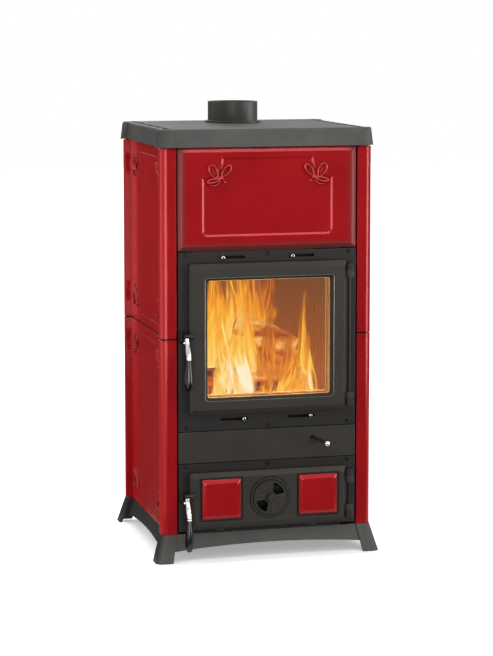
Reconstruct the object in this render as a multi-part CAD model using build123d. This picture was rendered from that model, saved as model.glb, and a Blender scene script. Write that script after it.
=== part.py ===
"""Cast iron wood stove with enamelled side castings, a glazed fire door and an ash door.

Millimetres, Z up. The front faces -Y and the stove's left side, as seen from the front, is at -X.
The model is drawn about the middle of its body. Each sub-part is then moved back a little, so that
the origin is on the floor under the middle of the whole stove, its handles included, and goes to
its own STEP file.
"""
import math
import os

from build123d import *

# Whole stove
body_width = 540.0
body_depth = 470.0
plinth_top = 68.0
body_top = 1026.0

# Clearances
slide_gap = 0.2
seat_gap = 0.3
running_gap = 0.05
bore_gap = 0.5
panel_gap = 2.0
column_gap = 4.0
lid_gap = 1.5

# Side castings with their corner columns
column_width = 38.0
column_depth = 32.0
column_radius = 15.0
side_recess = 16.0
casting_wall = 6.0
side_seam = 555.5
seam_depth = 2.0
seam_half_height = 1.4
line_margin = 15.0
line_end_margin = 24.0
line_width = 3.0
line_depth = 1.2
line_rise = 50.0
line_inset = 65.0

# Plates on the front, with the heights of their lower edges
plate_wall = 8.0
ash_plate_rise = 7.0
middle_plate_bottom = 245.5
fire_plate_bottom = 325.5
panel_bottom = 772.5
panel_bevel = 11.0
panel_bevel_depth = 3.0
panel_radius = 4.0
field_side_margin = 61.0
field_bottom_margin = 35.0
field_top_margin = 24.5
field_depth = 2.0
field_slope = 5.0
field_radius = 14.0
field_notch_radius = 50.0

# Base
foot_splay = 19.0
foot_splay_depth = 20.0
foot_width = 43.0
foot_depth = 45.0
foot_hollow_overrun = 5.0
skirt_setback = 3.0
skirt_side_setback = 2.0
skirt_wall = 8.0
flange_wall = 8.0
flange_lap = 18.0
arch_ends = 26.0
arch_rise = 12.0
side_arch_ends = 20.0
side_arch_rise = 15.0
arch_overrun = 20.0

# Lid
lid_side_overhang = 10.0
lid_front_overhang = 8.0
lid_height = 44.5
lid_wall = 12.0
lid_skirt_wall = 10.0
lid_taper = 7.0
lid_block_depth = 40.0
lid_side_recess = 14.0
lid_radius = 38.0
lid_rim_slices = ((2.6, 14.0), (1.8, 34.0), (1.1, 54.0), (0.5, 72.0))
grille_slots = 5
grille_slot_width = 14.0
grille_web = 12.0
grille_end_margin = 24.0
grille_inset = 24.0

# Cooking plate and flue
cooking_plate_inset = 135.0
cooking_plate_radius = 114.5
cooking_plate_wall = 6.0
cooking_plate_lap = 14.5
ring_groove_radii = (51.5, 86.0)
ring_groove_width = 2.0
ring_groove_depth = 1.0
lift_notch_width = 8.0
lift_notch_length = 16.0
lift_notch_depth = 3.0
lift_notch_inset = 12.0
flue_inset = 120.0
flue_radius = 65.0
flue_wall = 5.0
flue_height = 55.0
flue_flange_width = 7.5
flue_flange_wall = 5.0

# Steel carcass
carcass_side_gap = 38.0
carcass_rear_gap = 45.0
carcass_wall = 3.0
rear_sheet_wall = 2.0
rear_sheet_lap = 8.0
vent_columns = 7
vent_pitch = 58.0
vent_width = 12.0
vent_height = 60.0
lower_vent_rise = 70.0
upper_vent_drop = 90.0

# Fire chamber
hearth_drop = 26.0
hearth_wall = 12.0
lining_side_wall = 22.0
lining_back_wall = 25.0
lining_rise = 23.0
lining_front_gap = 1.0
lining_back_gap = 62.0
rib_count = 12
rib_width = 8.0
rib_depth = 5.0
baffle_wall = 12.0
baffle_inset = 107.0

# Grate and its shaker
well_half_width = 90.0
well_front_inset = 77.0
well_back_inset = 35.0
grate_lip = 10.0
grate_lip_wall = 4.0
grate_travel = 30.0
grate_wall = 7.0
grate_side_gap = 2.0
grate_end_gap = 1.0
grate_border = 12.0
grate_slots = 7
grate_slot_width = 12.0
shaker_x = 116.0
shaker_rise = 51.5
shaker_radius = 3.5
shaker_ball_radius = 7.5
shaker_reach = 29.0
shaker_drop = 12.0
shaker_out = 26.0
shaker_bend = 6.0
shaker_link_x = 60.0
shaker_link_width = 12.0

# Doors
door_side_margin = 25.0
door_wall = 20.0
door_standoff = 2.0
door_bevel = 12.0
door_bevel_depth = 7.0
door_radius = 8.0
fire_door_rise = 43.0
fire_door_top_margin = 28.0
ash_door_rise = 9.0
ash_door_top_margin = 20.5
door_web = 10.0
ash_door_web = 8.0
rope_width = 8.0
rope_margin = 3.5
rope_end_margin = 4.5
rope_inner_radius = 4.0
rope_wall = 5.0
window_side_margin = 45.0
window_bottom_margin = 40.5
window_top_margin = 41.5
window_bevel = 7.0
window_bevel_depth = 8.0
window_radius = 8.0
glass_lap = 10.0
glass_wall = 4.0
tape_wall = 1.5
tape_width = 9.0
clip_x = 80.0
clip_length = 30.0
clip_lap = 6.0
clip_reach = 10.0
clip_foot_gap = 1.5
clip_wall = 2.5
clip_screw_radius = 2.0
clip_screw_head_radius = 4.0
clip_screw_head_height = 2.5
clip_screw_depth = 5.0
opening_side_inset = 38.0
fire_opening_bottom_inset = 29.5
fire_opening_top_inset = 30.5
ash_opening_inset = 16.0

# Hinges
hinge_margin = 5.0
hinge_standoff = 15.0
pin_radius = 4.0
barrel_radius = 11.0
ear_height = 18.0
lug_height = 15.0
ear_inset = 8.0
ear_web_half_width = 7.0
barrel_gap = 0.4
notch_gap = 1.5
pin_head = 2.0

# Handles
handle_margin = 10.0
handle_thickness = 8.0
handle_pivot_standoff = 23.0
fire_handle_rise = 10.5
ash_handle_rise = 14.5
hub_radius = 8.0
pivot_radius = 3.0
grip_reach = 28.0
arm_drop = 50.0
arm_width = 9.0
grip_length = 80.0
grip_radius = 11.0
grip_neck_radius = 6.0
cam_radius = 4.0
cam_length = 5.0
cam_setback = 2.0
catch_height = 9.0
catch_gap = 1.5
catch_lap = 2.0
catch_ends = (-20.0, 12.0)
catch_crown = (-12.0, 4.0)
boss_reach = 9.0
boss_bite = 4.0
boss_wall = 3.0

# Ash door tiles and air register
tile_size = 101.0
tile_margin = 28.0
tile_rise = 2.5
tile_wall = 6.0
tile_bevel = 10.0
tile_bevel_depth = 4.5
tile_radius = 4.0
tile_recess = 1.6
tile_moat = 3.0
register_rise = 1.5
register_radius = 50.0
register_rim = 6.0
register_rim_height = 3.0
register_groove_width = 2.5
register_groove_depth = 2.0
disc_wall = 4.0
disc_gap = 0.3
petal_inner = 15.0
petal_outer = 38.0
petal_angle = 62.0
register_knob_radius = 9.0
register_knob_height = 11.0
register_knob_foot = 1.2
register_knob_edge = 2.5
register_rib_start = 12.0
register_rib_width = 3.0
register_rib_height = 1.2
register_rib_spacing = 4.0
spindle_radius = 4.0
spindle_collar_radius = 8.0
spindle_collar_wall = 4.0

# Ash pan
pan_side_gap = 15.0
pan_front_inset = 22.0
pan_back_overrun = 15.0
pan_headroom = 34.0
pan_lift = 1.0
pan_wall = 2.0
pan_handle_half_width = 35.0
pan_handle_reach = 16.0
pan_handle_radius = 3.0
rail_width = 20.0
rail_inset = 30.0

# Air slides, with the distances of their slots' outer ends from the carcass
slide_wall = 3.0
slide_height = 18.0
slide_travel = 50.0
slide_end_margin = 15.0
slide_lap = 8.0
slot_height = 7.0
upper_slide_drop = 16.5
upper_slot_length = 62.0
upper_slot_inset = 67.0
lower_slide_rise = 26.5
lower_slot_length = 72.0
lower_slot_inset = 65.0
upper_knob_inset = 4.5
lower_knob_inset = 12.0
port_near = 12.0
port_far = 52.0
guide_inset = 10.0
guide_width = 12.0
guide_leg = 4.0
guide_bridge = 2.0
slide_shaft_radius = 2.5
slide_knob_radius = 4.5
slide_knob_wall = 5.0
slide_knob_standoff = 3.0
slide_knob_edge = 1.5

# Screws on the front plates
screw_head_radius = 4.5
screw_head_height = 2.5
screw_head_edge = 1.2
screw_cross_length = 6.0
screw_cross_width = 1.2
screw_cross_depth = 1.2
screw_shank_radius = 2.5
screw_margin = 20.0
screw_end_margin = 9.0

# Derived planes of the body
front = -body_depth / 2
back = body_depth / 2
side = body_width / 2
field_x = side - side_recess
column_inner_x = side - column_width
column_inner_y = body_depth / 2 - column_depth
skirt_bottom = body_top + lid_gap
stove_top = skirt_bottom + lid_height
lid_underside = stove_top - lid_wall

# Derived places on the front
plate_back = front + plate_wall
plate_half_width = column_inner_x - column_gap
ash_plate_bottom = plinth_top + ash_plate_rise
fire_plate_top = panel_bottom - panel_gap
middle_plate_top = fire_plate_bottom - panel_gap
ash_plate_top = middle_plate_bottom - panel_gap
door_half_width = plate_half_width - door_side_margin
door_back = front - door_standoff
door_front = door_back - door_wall
fire_door_bottom = fire_plate_bottom + fire_door_rise
fire_door_top = fire_plate_top - fire_door_top_margin
ash_door_bottom = ash_plate_bottom + ash_door_rise
ash_door_top = ash_plate_top - ash_door_top_margin
ash_door_middle = (ash_door_bottom + ash_door_top) / 2
window_half_width = door_half_width - window_side_margin
window_bottom = fire_door_bottom + window_bottom_margin
window_top = fire_door_top - window_top_margin
opening_half_width = door_half_width - opening_side_inset
fire_opening_bottom = fire_door_bottom + fire_opening_bottom_inset
fire_opening_top = fire_door_top - fire_opening_top_inset
ash_opening_bottom = ash_door_bottom + ash_opening_inset
ash_opening_top = ash_door_top - ash_opening_inset
hinge_x = door_half_width + hinge_margin
hinge_y = front - hinge_standoff
handle_x = -door_half_width - handle_margin
handle_y = front - handle_pivot_standoff
fire_handle_z = (fire_door_bottom + fire_door_top) / 2 + fire_handle_rise
ash_handle_z = ash_door_middle + ash_handle_rise
register_z = ash_door_middle + register_rise
tile_x = door_half_width - tile_margin - tile_size / 2
tile_z = ash_door_middle + tile_rise

# Derived places inside
plate_y = front + cooking_plate_inset
cooking_hole_radius = cooking_plate_radius - cooking_plate_lap
flue_y = back - flue_inset
flue_bore = flue_radius - flue_wall
carcass_x = plate_half_width - carcass_side_gap
carcass_inner = carcass_x - carcass_wall
carcass_back = back - carcass_rear_gap
rear_inner = carcass_back - carcass_wall
floor_top = plinth_top + carcass_wall
hearth_bottom = fire_opening_bottom - hearth_drop
hearth_top = hearth_bottom + hearth_wall
lining_front = plate_back + lining_front_gap
lining_top = fire_opening_top + lining_rise
rib_face = carcass_inner - lining_side_wall
chamber_half_width = rib_face - rib_depth
lining_back = rear_inner - lining_back_gap
rear_face = lining_back - lining_back_wall
chamber_back = rear_face - rib_depth
well_front = plate_back + well_front_inset
well_back = chamber_back - well_back_inset
shaker_z = middle_plate_bottom + shaker_rise
pan_half_width = opening_half_width - pan_side_gap
pan_front = plate_back + pan_front_inset
pan_back = chamber_back + pan_back_overrun
pan_bottom = ash_opening_bottom + pan_lift
pan_top = ash_opening_top - pan_headroom

# How far the model is moved back, half the difference between its reaches to front and back
stance_shift = (grip_radius + grip_reach - handle_y - back - foot_splay_depth) / 2

os.makedirs("parts", exist_ok=True)


def block(x0, x1, y0, y1, z0, z1):
    """Box between two corners."""
    centre = ((x0 + x1) / 2, (y0 + y1) / 2, (z0 + z1) / 2)
    return Pos(*centre) * Box(x1 - x0, y1 - y0, z1 - z0)


def rod_x(radius, x0, x1, y, z):
    """Cylinder along X."""
    return Pos((x0 + x1) / 2, y, z) * Rot(0, 90, 0) * Cylinder(radius, x1 - x0)


def rod_y(radius, x, y0, y1, z):
    """Cylinder along Y."""
    return Pos(x, (y0 + y1) / 2, z) * Rot(90, 0, 0) * Cylinder(radius, y1 - y0)


def rod_z(radius, x, y, z0, z1):
    """Cylinder along Z."""
    return Pos(x, y, (z0 + z1) / 2) * Cylinder(radius, z1 - z0)


def front_face(half_width, z0, z1, y, radius=0.0):
    """Rectangular face that looks along -Y, with its corners rounded if a radius is given."""
    plane = Plane(origin=(0, y, (z0 + z1) / 2), x_dir=(1, 0, 0), z_dir=(0, -1, 0))
    if radius > 0:
        return plane * RectangleRounded(2 * half_width, z1 - z0, radius)
    return plane * Rectangle(2 * half_width, z1 - z0)


def front_prism(half_width, z0, z1, y_front, y_back, radius):
    """Prism along Y with rounded corners."""
    return extrude(front_face(half_width, z0, z1, y_back, radius), amount=y_back - y_front)


def bevelled_plate(half_width, z0, z1, y_front, y_back, bevel, bevel_depth, radius):
    """Plate along the front with rounded corners, whose outer edge slopes back from its face."""
    shoulder = y_front + bevel_depth
    body = front_prism(half_width, z0, z1, shoulder, y_back, radius)
    wide = front_face(half_width, z0, z1, shoulder, radius)
    narrow = front_face(half_width - bevel, z0 + bevel, z1 - bevel, y_front, radius)
    return body + loft([wide, narrow])


def on_both_sides(solid):
    """The solid and its mirror image across the YZ plane."""
    return solid + mirror(solid, about=Plane.YZ)


def save(name, *solids):
    """Writes one sub-part in its final place; separate solids share its file."""
    placed = [Pos(0, stance_shift, 0) * solid for solid in solids]
    part = placed[0] if len(placed) == 1 else Compound(children=placed)
    part.label = name
    export_step(part, f"parts/{name}.step")


# Side castings: a recessed field between two hollow corner columns, in a lower and an upper half
def casting_face(inset):
    """Cross section of the left side casting, its outer surface moved in by the inset."""
    xo = side - inset
    xf = field_x - inset
    yo = body_depth / 2 - inset
    yi = column_inner_y + inset
    xw = side - casting_wall
    fw = field_x - casting_wall
    yw = body_depth / 2 - casting_wall
    yr = column_inner_y + casting_wall
    outer = [(-column_inner_x, -yo), (-xo, -yo), (-xo, -yi), (-xf, -yi)]
    outer += [(x, -y) for x, y in reversed(outer)]
    inner = [(-column_inner_x, yw), (-xw, yw), (-xw, yr), (-fw, yr)]
    inner += [(x, -y) for x, y in reversed(inner)]
    face = make_face(Polyline(*(outer + inner), close=True))
    for x, y, radius in ((xo, yo, column_radius - inset), (xw, yw, column_radius - casting_wall)):
        corners = [v for v in face.vertices() if abs(v.X + x) < 0.01 and abs(abs(v.Y) - y) < 0.01]
        face = fillet(corners, radius)
    return face


def side_casting(z0, z1):
    """Left side casting between two heights, with a shallow seam at both ends and four sunk lines."""
    casting = extrude(Pos(0, 0, z0) * casting_face(seam_depth), amount=z1 - z0)
    middle = z1 - z0 - 2 * seam_half_height
    casting += extrude(Pos(0, 0, z0 + seam_half_height) * casting_face(0.0), amount=middle)
    half = column_inner_y - line_margin
    low = z0 + line_end_margin
    high = z1 - line_end_margin
    x0 = -field_x - 1
    x1 = -field_x + line_depth
    for z in (low, high - line_width):
        casting -= block(x0, x1, line_inset - half, half - line_inset, z, z + line_width)
    for y in (-half, half - line_width):
        casting -= block(x0, x1, y, y + line_width, low + line_rise, high - line_rise)
    return casting


lower_side = side_casting(plinth_top, side_seam)
upper_side = side_casting(side_seam, body_top)
save("left_lower_side", lower_side)
save("right_lower_side", mirror(lower_side, about=Plane.YZ))
save("left_upper_side", upper_side)
save("right_upper_side", mirror(upper_side, about=Plane.YZ))


# Base: four splayed corner feet and a ring of arched skirts under a flange
def corner_section(z, grow, shorten):
    """Section of the front left foot at one height, drawn in by grow from its outer faces."""
    t = 1 - z / plinth_top
    x_out = side + foot_splay * t - grow
    y_out = body_depth / 2 + foot_splay_depth * t - grow
    width = column_width + (foot_width - column_width) * t - grow + shorten
    depth = column_depth + (foot_depth - column_depth) * t - grow + shorten
    centre = (-x_out + width / 2, -y_out + depth / 2)
    return Pos(centre[0], centre[1], z) * Rectangle(width, depth)


foot_block = loft([corner_section(0, 0, 0), corner_section(plinth_top, 0, 0)])
hollow_top = plinth_top - flange_wall
foot_hollow = loft([
    corner_section(0, skirt_wall, foot_hollow_overrun),
    corner_section(hollow_top, skirt_wall, foot_hollow_overrun),
])
outer_edge = []
for edge in foot_block.edges():
    middle = edge.center()
    if middle.X < -side and middle.Y < front and abs(middle.Z - plinth_top / 2) < 5:
        outer_edge.append(edge)
foot_block_rounded = fillet(outer_edge, column_radius)
front_left_foot = foot_block_rounded - foot_hollow
front_feet = [front_left_foot, mirror(front_left_foot, about=Plane.YZ)]
rear_feet = [mirror(foot, about=Plane.XZ) for foot in front_feet]
save("corner_feet", *front_feet, *rear_feet)


def skirt_section(z, inset):
    """Outline of the skirts at one height, moved in by the inset."""
    t = 1 - z / plinth_top
    half_x = field_x - skirt_side_setback + foot_splay * t - inset
    half_y = body_depth / 2 - skirt_setback + foot_splay_depth * t - inset
    return Pos(0, 0, z) * Rectangle(2 * half_x, 2 * half_y)


def arch_tool(half_span, ends, rise, along_y):
    """Solid below a shallow arch, running right through the base."""
    reach = body_width
    curve = ThreePointArc((-half_span, ends), (0, ends + rise), (half_span, ends))
    sides = Polyline((half_span, ends), (half_span, -5), (-half_span, -5), (-half_span, ends))
    shape = make_face([curve, sides])
    plane = Plane.XZ if along_y else Plane.YZ
    return extrude(plane * shape, amount=reach, both=True)


skirts = loft([skirt_section(0, 0), skirt_section(plinth_top, 0)])
skirts -= loft([skirt_section(0, skirt_wall), skirt_section(hollow_top, skirt_wall)])
hole_x = carcass_x - flange_lap
skirts -= block(-hole_x, hole_x, plate_back + flange_lap, carcass_back - flange_lap, 0, plinth_top + 1)
skirts -= arch_tool(column_inner_x + arch_overrun, arch_ends, arch_rise, True)
skirts -= arch_tool(column_inner_y + arch_overrun, side_arch_ends, side_arch_rise, False)
all_corners = [foot_block, mirror(foot_block, about=Plane.YZ)]
all_corners += [mirror(corner, about=Plane.XZ) for corner in all_corners]
for corner in all_corners:
    skirts -= corner
save("base_skirts", skirts)


# Lid: a flared skirt with corner blocks, a seat for the cooking plate, a flue hole and two grilles
lid_x = side + lid_side_overhang
lid_y = body_depth / 2 + lid_front_overhang
block_y = lid_y - lid_block_depth
recessed_x = lid_x - lid_side_recess
quarter = [(lid_x, -lid_y), (lid_x, -block_y), (recessed_x, -block_y)]
right_half = quarter + [(x, -y) for x, y in reversed(quarter)]
outline = right_half + [(-x, y) for x, y in reversed(right_half)]
lid_face = Plane.XY.offset(skirt_bottom) * make_face(Polyline(*outline, close=True))
lid_corners = [
    v for v in lid_face.vertices() if abs(abs(v.X) - lid_x) < 0.01 and abs(abs(v.Y) - lid_y) < 0.01
]
lid_face = fillet(lid_corners, lid_radius)
rim_height = sum(height for height, slope in lid_rim_slices)
lid = extrude(lid_face, amount=lid_height - rim_height, taper=lid_taper)
for height, slope in lid_rim_slices:
    top_face = lid.faces().sort_by(Axis.Z)[-1]
    lid += extrude(top_face, amount=height, taper=slope)
pocket_x = recessed_x - lid_skirt_wall
pocket_y = lid_y - lid_skirt_wall
lid -= block(-pocket_x, pocket_x, -pocket_y, pocket_y, skirt_bottom - 1, lid_underside)
cooking_seat = stove_top - cooking_plate_wall
lid -= rod_z(cooking_plate_radius + bore_gap, 0, plate_y, cooking_seat, stove_top + 1)
lid -= rod_z(cooking_hole_radius, 0, plate_y, lid_underside - 1, stove_top)
lid -= rod_z(flue_bore, 0, flue_y, lid_underside - 1, stove_top + 1)
grille_x = side - grille_inset
grille_span = 2 * (lid_y - grille_end_margin)
grille_pitch = (grille_span + grille_web) / grille_slots
grille_slot_length = grille_pitch - grille_web
grille_start = -grille_pitch * (grille_slots - 1) / 2
for index in range(grille_slots):
    slot_y = grille_start + index * grille_pitch
    slot = Pos(grille_x, slot_y, stove_top) * Box(grille_slot_width, grille_slot_length, 4 * lid_wall)
    lid -= on_both_sides(slot)
save("top_plate", lid)

cooking_plate = rod_z(cooking_plate_radius, 0, plate_y, cooking_seat, stove_top)
groove_floor = stove_top - ring_groove_depth
for ring_radius in ring_groove_radii:
    outer_ring = rod_z(ring_radius + ring_groove_width / 2, 0, plate_y, groove_floor, stove_top + 1)
    inner_ring = rod_z(ring_radius - ring_groove_width / 2, 0, plate_y, groove_floor - 1, stove_top + 2)
    cooking_plate -= outer_ring - inner_ring
lift_notch = Box(lift_notch_width, lift_notch_length, 2 * lift_notch_depth)
cooking_plate -= Pos(0, plate_y - cooking_plate_radius + lift_notch_inset, stove_top) * lift_notch
save("cooking_plate", cooking_plate)

flue_top = stove_top + flue_height
flue_collar = rod_z(flue_radius, 0, flue_y, stove_top, flue_top)
flue_collar += rod_z(flue_radius + flue_flange_width, 0, flue_y, stove_top, stove_top + flue_flange_wall)
flue_collar -= rod_z(flue_bore, 0, flue_y, stove_top - 1, flue_top + 1)
save("flue_collar", flue_collar)


# Steel carcass behind the plates
carcass_top = lid_underside
wall_top = carcass_top - carcass_wall
carcass_floor = block(-carcass_x, carcass_x, plate_back, carcass_back, plinth_top, floor_top)
save("carcass_floor", carcass_floor)
wall = block(-carcass_x, -carcass_inner, plate_back, carcass_back, floor_top, wall_top)
save("carcass_left_wall", wall)
save("carcass_right_wall", mirror(wall, about=Plane.YZ))
rear_wall = block(-carcass_inner, carcass_inner, rear_inner, carcass_back, floor_top, wall_top)
save("carcass_rear_wall", rear_wall)
front_inner = plate_back + carcass_wall
front_wall = block(-carcass_inner, carcass_inner, plate_back, front_inner, panel_bottom, wall_top)
save("carcass_front_wall", front_wall)
roof = block(-carcass_x, carcass_x, plate_back, carcass_back, wall_top, carcass_top)
roof -= rod_z(cooking_hole_radius, 0, plate_y, wall_top - 1, carcass_top + 1)
roof -= rod_z(flue_bore, 0, flue_y, wall_top - 1, carcass_top + 1)
save("carcass_roof", roof)

rear_sheet_y = back - casting_wall - rear_sheet_wall
rear_sheet_x = column_inner_x + rear_sheet_lap
sheet_back = rear_sheet_y + rear_sheet_wall
rear_sheet = block(-rear_sheet_x, rear_sheet_x, rear_sheet_y, sheet_back, plinth_top, body_top)
for row_z in (plinth_top + lower_vent_rise, body_top - upper_vent_drop):
    for column in range(vent_columns):
        vent_x = (column - (vent_columns - 1) / 2) * vent_pitch
        vent = Box(vent_width, 4 * rear_sheet_wall, vent_height)
        rear_sheet -= Pos(vent_x, rear_sheet_y, row_z) * vent
save("rear_sheet", rear_sheet)


# Fire chamber: hearth, ribbed linings and baffle
hearth = block(-carcass_inner, carcass_inner, plate_back, rear_inner, hearth_bottom, hearth_top)
lip_top = hearth_bottom + grate_lip_wall
hearth -= block(-well_half_width, well_half_width, well_front, well_back, lip_top, hearth_top + 1)
lip_half = well_half_width - grate_lip
lip_front = well_front + grate_lip
lip_back = well_back - grate_lip
hearth -= block(-lip_half, lip_half, lip_front, lip_back, hearth_bottom - 1, hearth_top)
save("hearth_plate", hearth)

left_lining = block(-carcass_inner, -rib_face, lining_front, rear_face, hearth_top, lining_top)
rib_pitch = (chamber_back - lining_front) / rib_count
for index in range(rib_count):
    y0 = lining_front + (index + 0.5) * rib_pitch - rib_width / 2
    left_lining += block(-rib_face, -chamber_half_width, y0, y0 + rib_width, hearth_top, lining_top)
save("left_lining", left_lining)
save("right_lining", mirror(left_lining, about=Plane.YZ))
rear_lining = block(-carcass_inner, carcass_inner, rear_face, lining_back, hearth_top, lining_top)
rear_rib_pitch = 2 * chamber_half_width / rib_count
for index in range(rib_count):
    x0 = -chamber_half_width + (index + 0.5) * rear_rib_pitch - rib_width / 2
    rear_lining += block(x0, x0 + rib_width, chamber_back, rear_face, hearth_top, lining_top)
save("rear_lining", rear_lining)
baffle_top = lining_top + baffle_wall
baffle_front = plate_back + baffle_inset
smoke_baffle = block(-carcass_inner, carcass_inner, baffle_front, rear_inner, lining_top, baffle_top)
save("smoke_baffle", smoke_baffle)


# Front plates: the enamelled panel and the three iron plates below it
panel = bevelled_plate(
    plate_half_width, panel_bottom, body_top, front, plate_back, panel_bevel, panel_bevel_depth, panel_radius
)


def field_section(inset, y):
    """Outline of the panel's sunk field, drawn in by the inset: rounded below, and above with its corners
    cut away round the flourishes."""
    half = field_half - inset
    height = field_high - field_low - 2 * inset
    outline = Rectangle(2 * half, height)
    for x in (-field_half, field_half):
        outline -= Pos(x, height / 2 + inset) * Circle(field_notch_radius + inset)
    low_corners = [v for v in outline.vertices() if v.Y < -height / 2 + 1]
    outline = fillet(low_corners, field_radius - inset)
    middle = (field_low + field_high) / 2
    return Plane(origin=(0, y, middle), x_dir=(1, 0, 0), z_dir=(0, -1, 0)) * outline


field_half = plate_half_width - field_side_margin
field_low = panel_bottom + field_bottom_margin
field_high = body_top - field_top_margin
field_floor = front + field_depth
panel -= loft([field_section(0.0, front), field_section(field_slope, field_floor)])
save("upper_front_panel", panel)


def hinge_barrel(z0, z1, bore):
    """Hinge knuckle at the right edge, bored for the pin."""
    return rod_z(barrel_radius, hinge_x, hinge_y, z0, z1) - rod_z(bore, hinge_x, hinge_y, z0 - 1, z1 + 1)


def hinge_heights(door_bottom, door_top):
    """Heights of the two ears and two lugs: each ear outside its lug."""
    low_ear = (door_bottom + ear_inset, door_bottom + ear_inset + ear_height)
    low_lug = (low_ear[1] + barrel_gap, low_ear[1] + barrel_gap + lug_height)
    high_ear = (door_top - ear_inset - ear_height, door_top - ear_inset)
    high_lug = (high_ear[0] - barrel_gap - lug_height, high_ear[0] - barrel_gap)
    return (low_ear, high_ear), (low_lug, high_lug)


def frame_ears(door_bottom, door_top):
    """Ears that carry the hinge pin, with a web back to the plate."""
    ears, lugs = hinge_heights(door_bottom, door_top)
    shape = None
    for z0, z1 in ears:
        web = block(hinge_x - ear_web_half_width, hinge_x + ear_web_half_width, hinge_y, front, z0, z1)
        web -= rod_z(pin_radius, hinge_x, hinge_y, z0 - 1, z1 + 1)
        ear = hinge_barrel(z0, z1, pin_radius) + web
        shape = ear if shape is None else shape + ear
    return shape


def catch(handle_z):
    """Catch on the plate beside the handle, sloped for the handle's cam."""
    x0 = -plate_half_width + catch_lap
    x1 = handle_x - handle_thickness / 2 - catch_gap
    crown = front - catch_height
    points = [(front, handle_z + catch_ends[0]), (crown, handle_z + catch_crown[0])]
    points += [(crown, handle_z + catch_crown[1]), (front, handle_z + catch_ends[1])]
    face = Plane.YZ.offset(x0) * make_face(Polyline(*points, close=True))
    return extrude(face, amount=x1 - x0)


fire_plate = block(-plate_half_width, plate_half_width, front, plate_back, fire_plate_bottom, fire_plate_top)
fire_plate -= front_prism(
    opening_half_width, fire_opening_bottom, fire_opening_top, front - 1, plate_back + 1, window_radius
)
fire_plate += frame_ears(fire_door_bottom, fire_door_top)
fire_plate += catch(fire_handle_z)


def slot_starts(inset, length):
    """Left ends of a slide's two slots, whose outer ends lie at the inset from the carcass."""
    return -carcass_inner + inset, carcass_inner - inset - length


def air_slots(starts, length, z):
    """Round-ended slots through the plate for the knobs of an air slide."""
    r = slot_height / 2
    slots = []
    for start in starts:
        end = start + length
        slot = block(start + r, end - r, front - 1, plate_back + 1, z - r, z + r)
        slot += rod_y(r, start + r, front - 1, plate_back + 1, z)
        slot += rod_y(r, end - r, front - 1, plate_back + 1, z)
        slots.append(slot)
    return slots


upper_slide_z = panel_bottom - upper_slide_drop
lower_slide_z = fire_plate_bottom + lower_slide_rise
upper_starts = slot_starts(upper_slot_inset, upper_slot_length)
lower_starts = slot_starts(lower_slot_inset, lower_slot_length)
for slot in air_slots(upper_starts, upper_slot_length, upper_slide_z):
    fire_plate -= slot
for slot in air_slots(lower_starts, lower_slot_length, lower_slide_z):
    fire_plate -= slot

middle_plate = block(
    -plate_half_width, plate_half_width, front, plate_back, middle_plate_bottom, middle_plate_top
)
middle_plate -= rod_y(shaker_radius + bore_gap, shaker_x, front - 1, plate_back + 1, shaker_z)
save("middle_plate", middle_plate)

ash_plate = block(-plate_half_width, plate_half_width, front, plate_back, ash_plate_bottom, ash_plate_top)
ash_plate -= front_prism(
    opening_half_width, ash_opening_bottom, ash_opening_top, front - 1, plate_back + 1, window_radius
)
ash_plate += frame_ears(ash_door_bottom, ash_door_top)
ash_plate += catch(ash_handle_z)

screws = []
screw_x = plate_half_width - screw_margin
ash_screw_z = middle_plate_bottom - screw_end_margin
screw_rows = (panel_bottom - screw_end_margin, fire_plate_bottom + screw_end_margin, ash_screw_z)
screw_places = [(x, z) for z in screw_rows for x in (-screw_x, 0.0, screw_x)]
for x, z in screw_places:
    head_front = front - screw_head_height
    head = rod_y(screw_head_radius, x, head_front, front, z)
    rim = [e for e in head.edges() if abs(e.center().Y - head_front) < 0.01]
    screw = fillet(rim, screw_head_edge) + rod_y(screw_shank_radius, x, front, plate_back, z)
    for length, width in ((screw_cross_length, screw_cross_width), (screw_cross_width, screw_cross_length)):
        screw -= Pos(x, head_front, z) * Box(length, 2 * screw_cross_depth, width)
    screws.append(screw)
    hole = rod_y(screw_shank_radius, x, front - 1, plate_back + 1, z)
    if z == ash_screw_z:
        ash_plate -= hole
    else:
        fire_plate -= hole
save("front_screws", *screws)
save("fire_plate", fire_plate)
save("ash_plate", ash_plate)


# Doors share their slab, rope seal, hinge lugs, pin and handle
def door_slab(door_bottom, door_top, web):
    """Door casting: bevelled face, hollow back inside the rope channel, lugs and a handle boss."""
    edge = (door_bevel, door_bevel_depth, door_radius)
    slab = bevelled_plate(door_half_width, door_bottom, door_top, door_front, door_back, *edge)
    rope_outer, rope_inner = rope_limits(door_bottom, door_top)
    inner = rope_inner[0] - rope_wall
    low = rope_inner[1] + rope_wall
    high = rope_inner[2] - rope_wall
    slab -= front_prism(inner, low, high, door_front + web, door_back + 1, window_radius)
    channel = door_back - rope_width
    outer_prism = front_prism(*rope_outer, channel, door_back + 1, window_radius)
    inner_prism = front_prism(*rope_inner, channel - 1, door_back + 2, rope_inner_radius)
    slab -= outer_prism - inner_prism
    ears, lugs = hinge_heights(door_bottom, door_top)
    notch_x = hinge_x - barrel_radius - notch_gap
    for z0, z1 in ears:
        slab -= block(notch_x, side, door_front - 1, door_back + 1, z0 - barrel_gap, z1 + barrel_gap)
    slab -= rod_z(barrel_radius, hinge_x, hinge_y, door_bottom - 1, door_top + 1)
    for z0, z1 in lugs:
        slab += hinge_barrel(z0, z1, pin_radius + running_gap)
    return slab


def rope_limits(door_bottom, door_top):
    """Half width, bottom and top of the rope channel's outer and inner edge."""
    notch_x = hinge_x - barrel_radius - notch_gap
    outer_half = notch_x - rope_margin
    outer = (outer_half, door_bottom + rope_end_margin, door_top - rope_end_margin)
    inner = (outer_half - rope_width, outer[1] + rope_width, outer[2] - rope_width)
    return outer, inner


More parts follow.
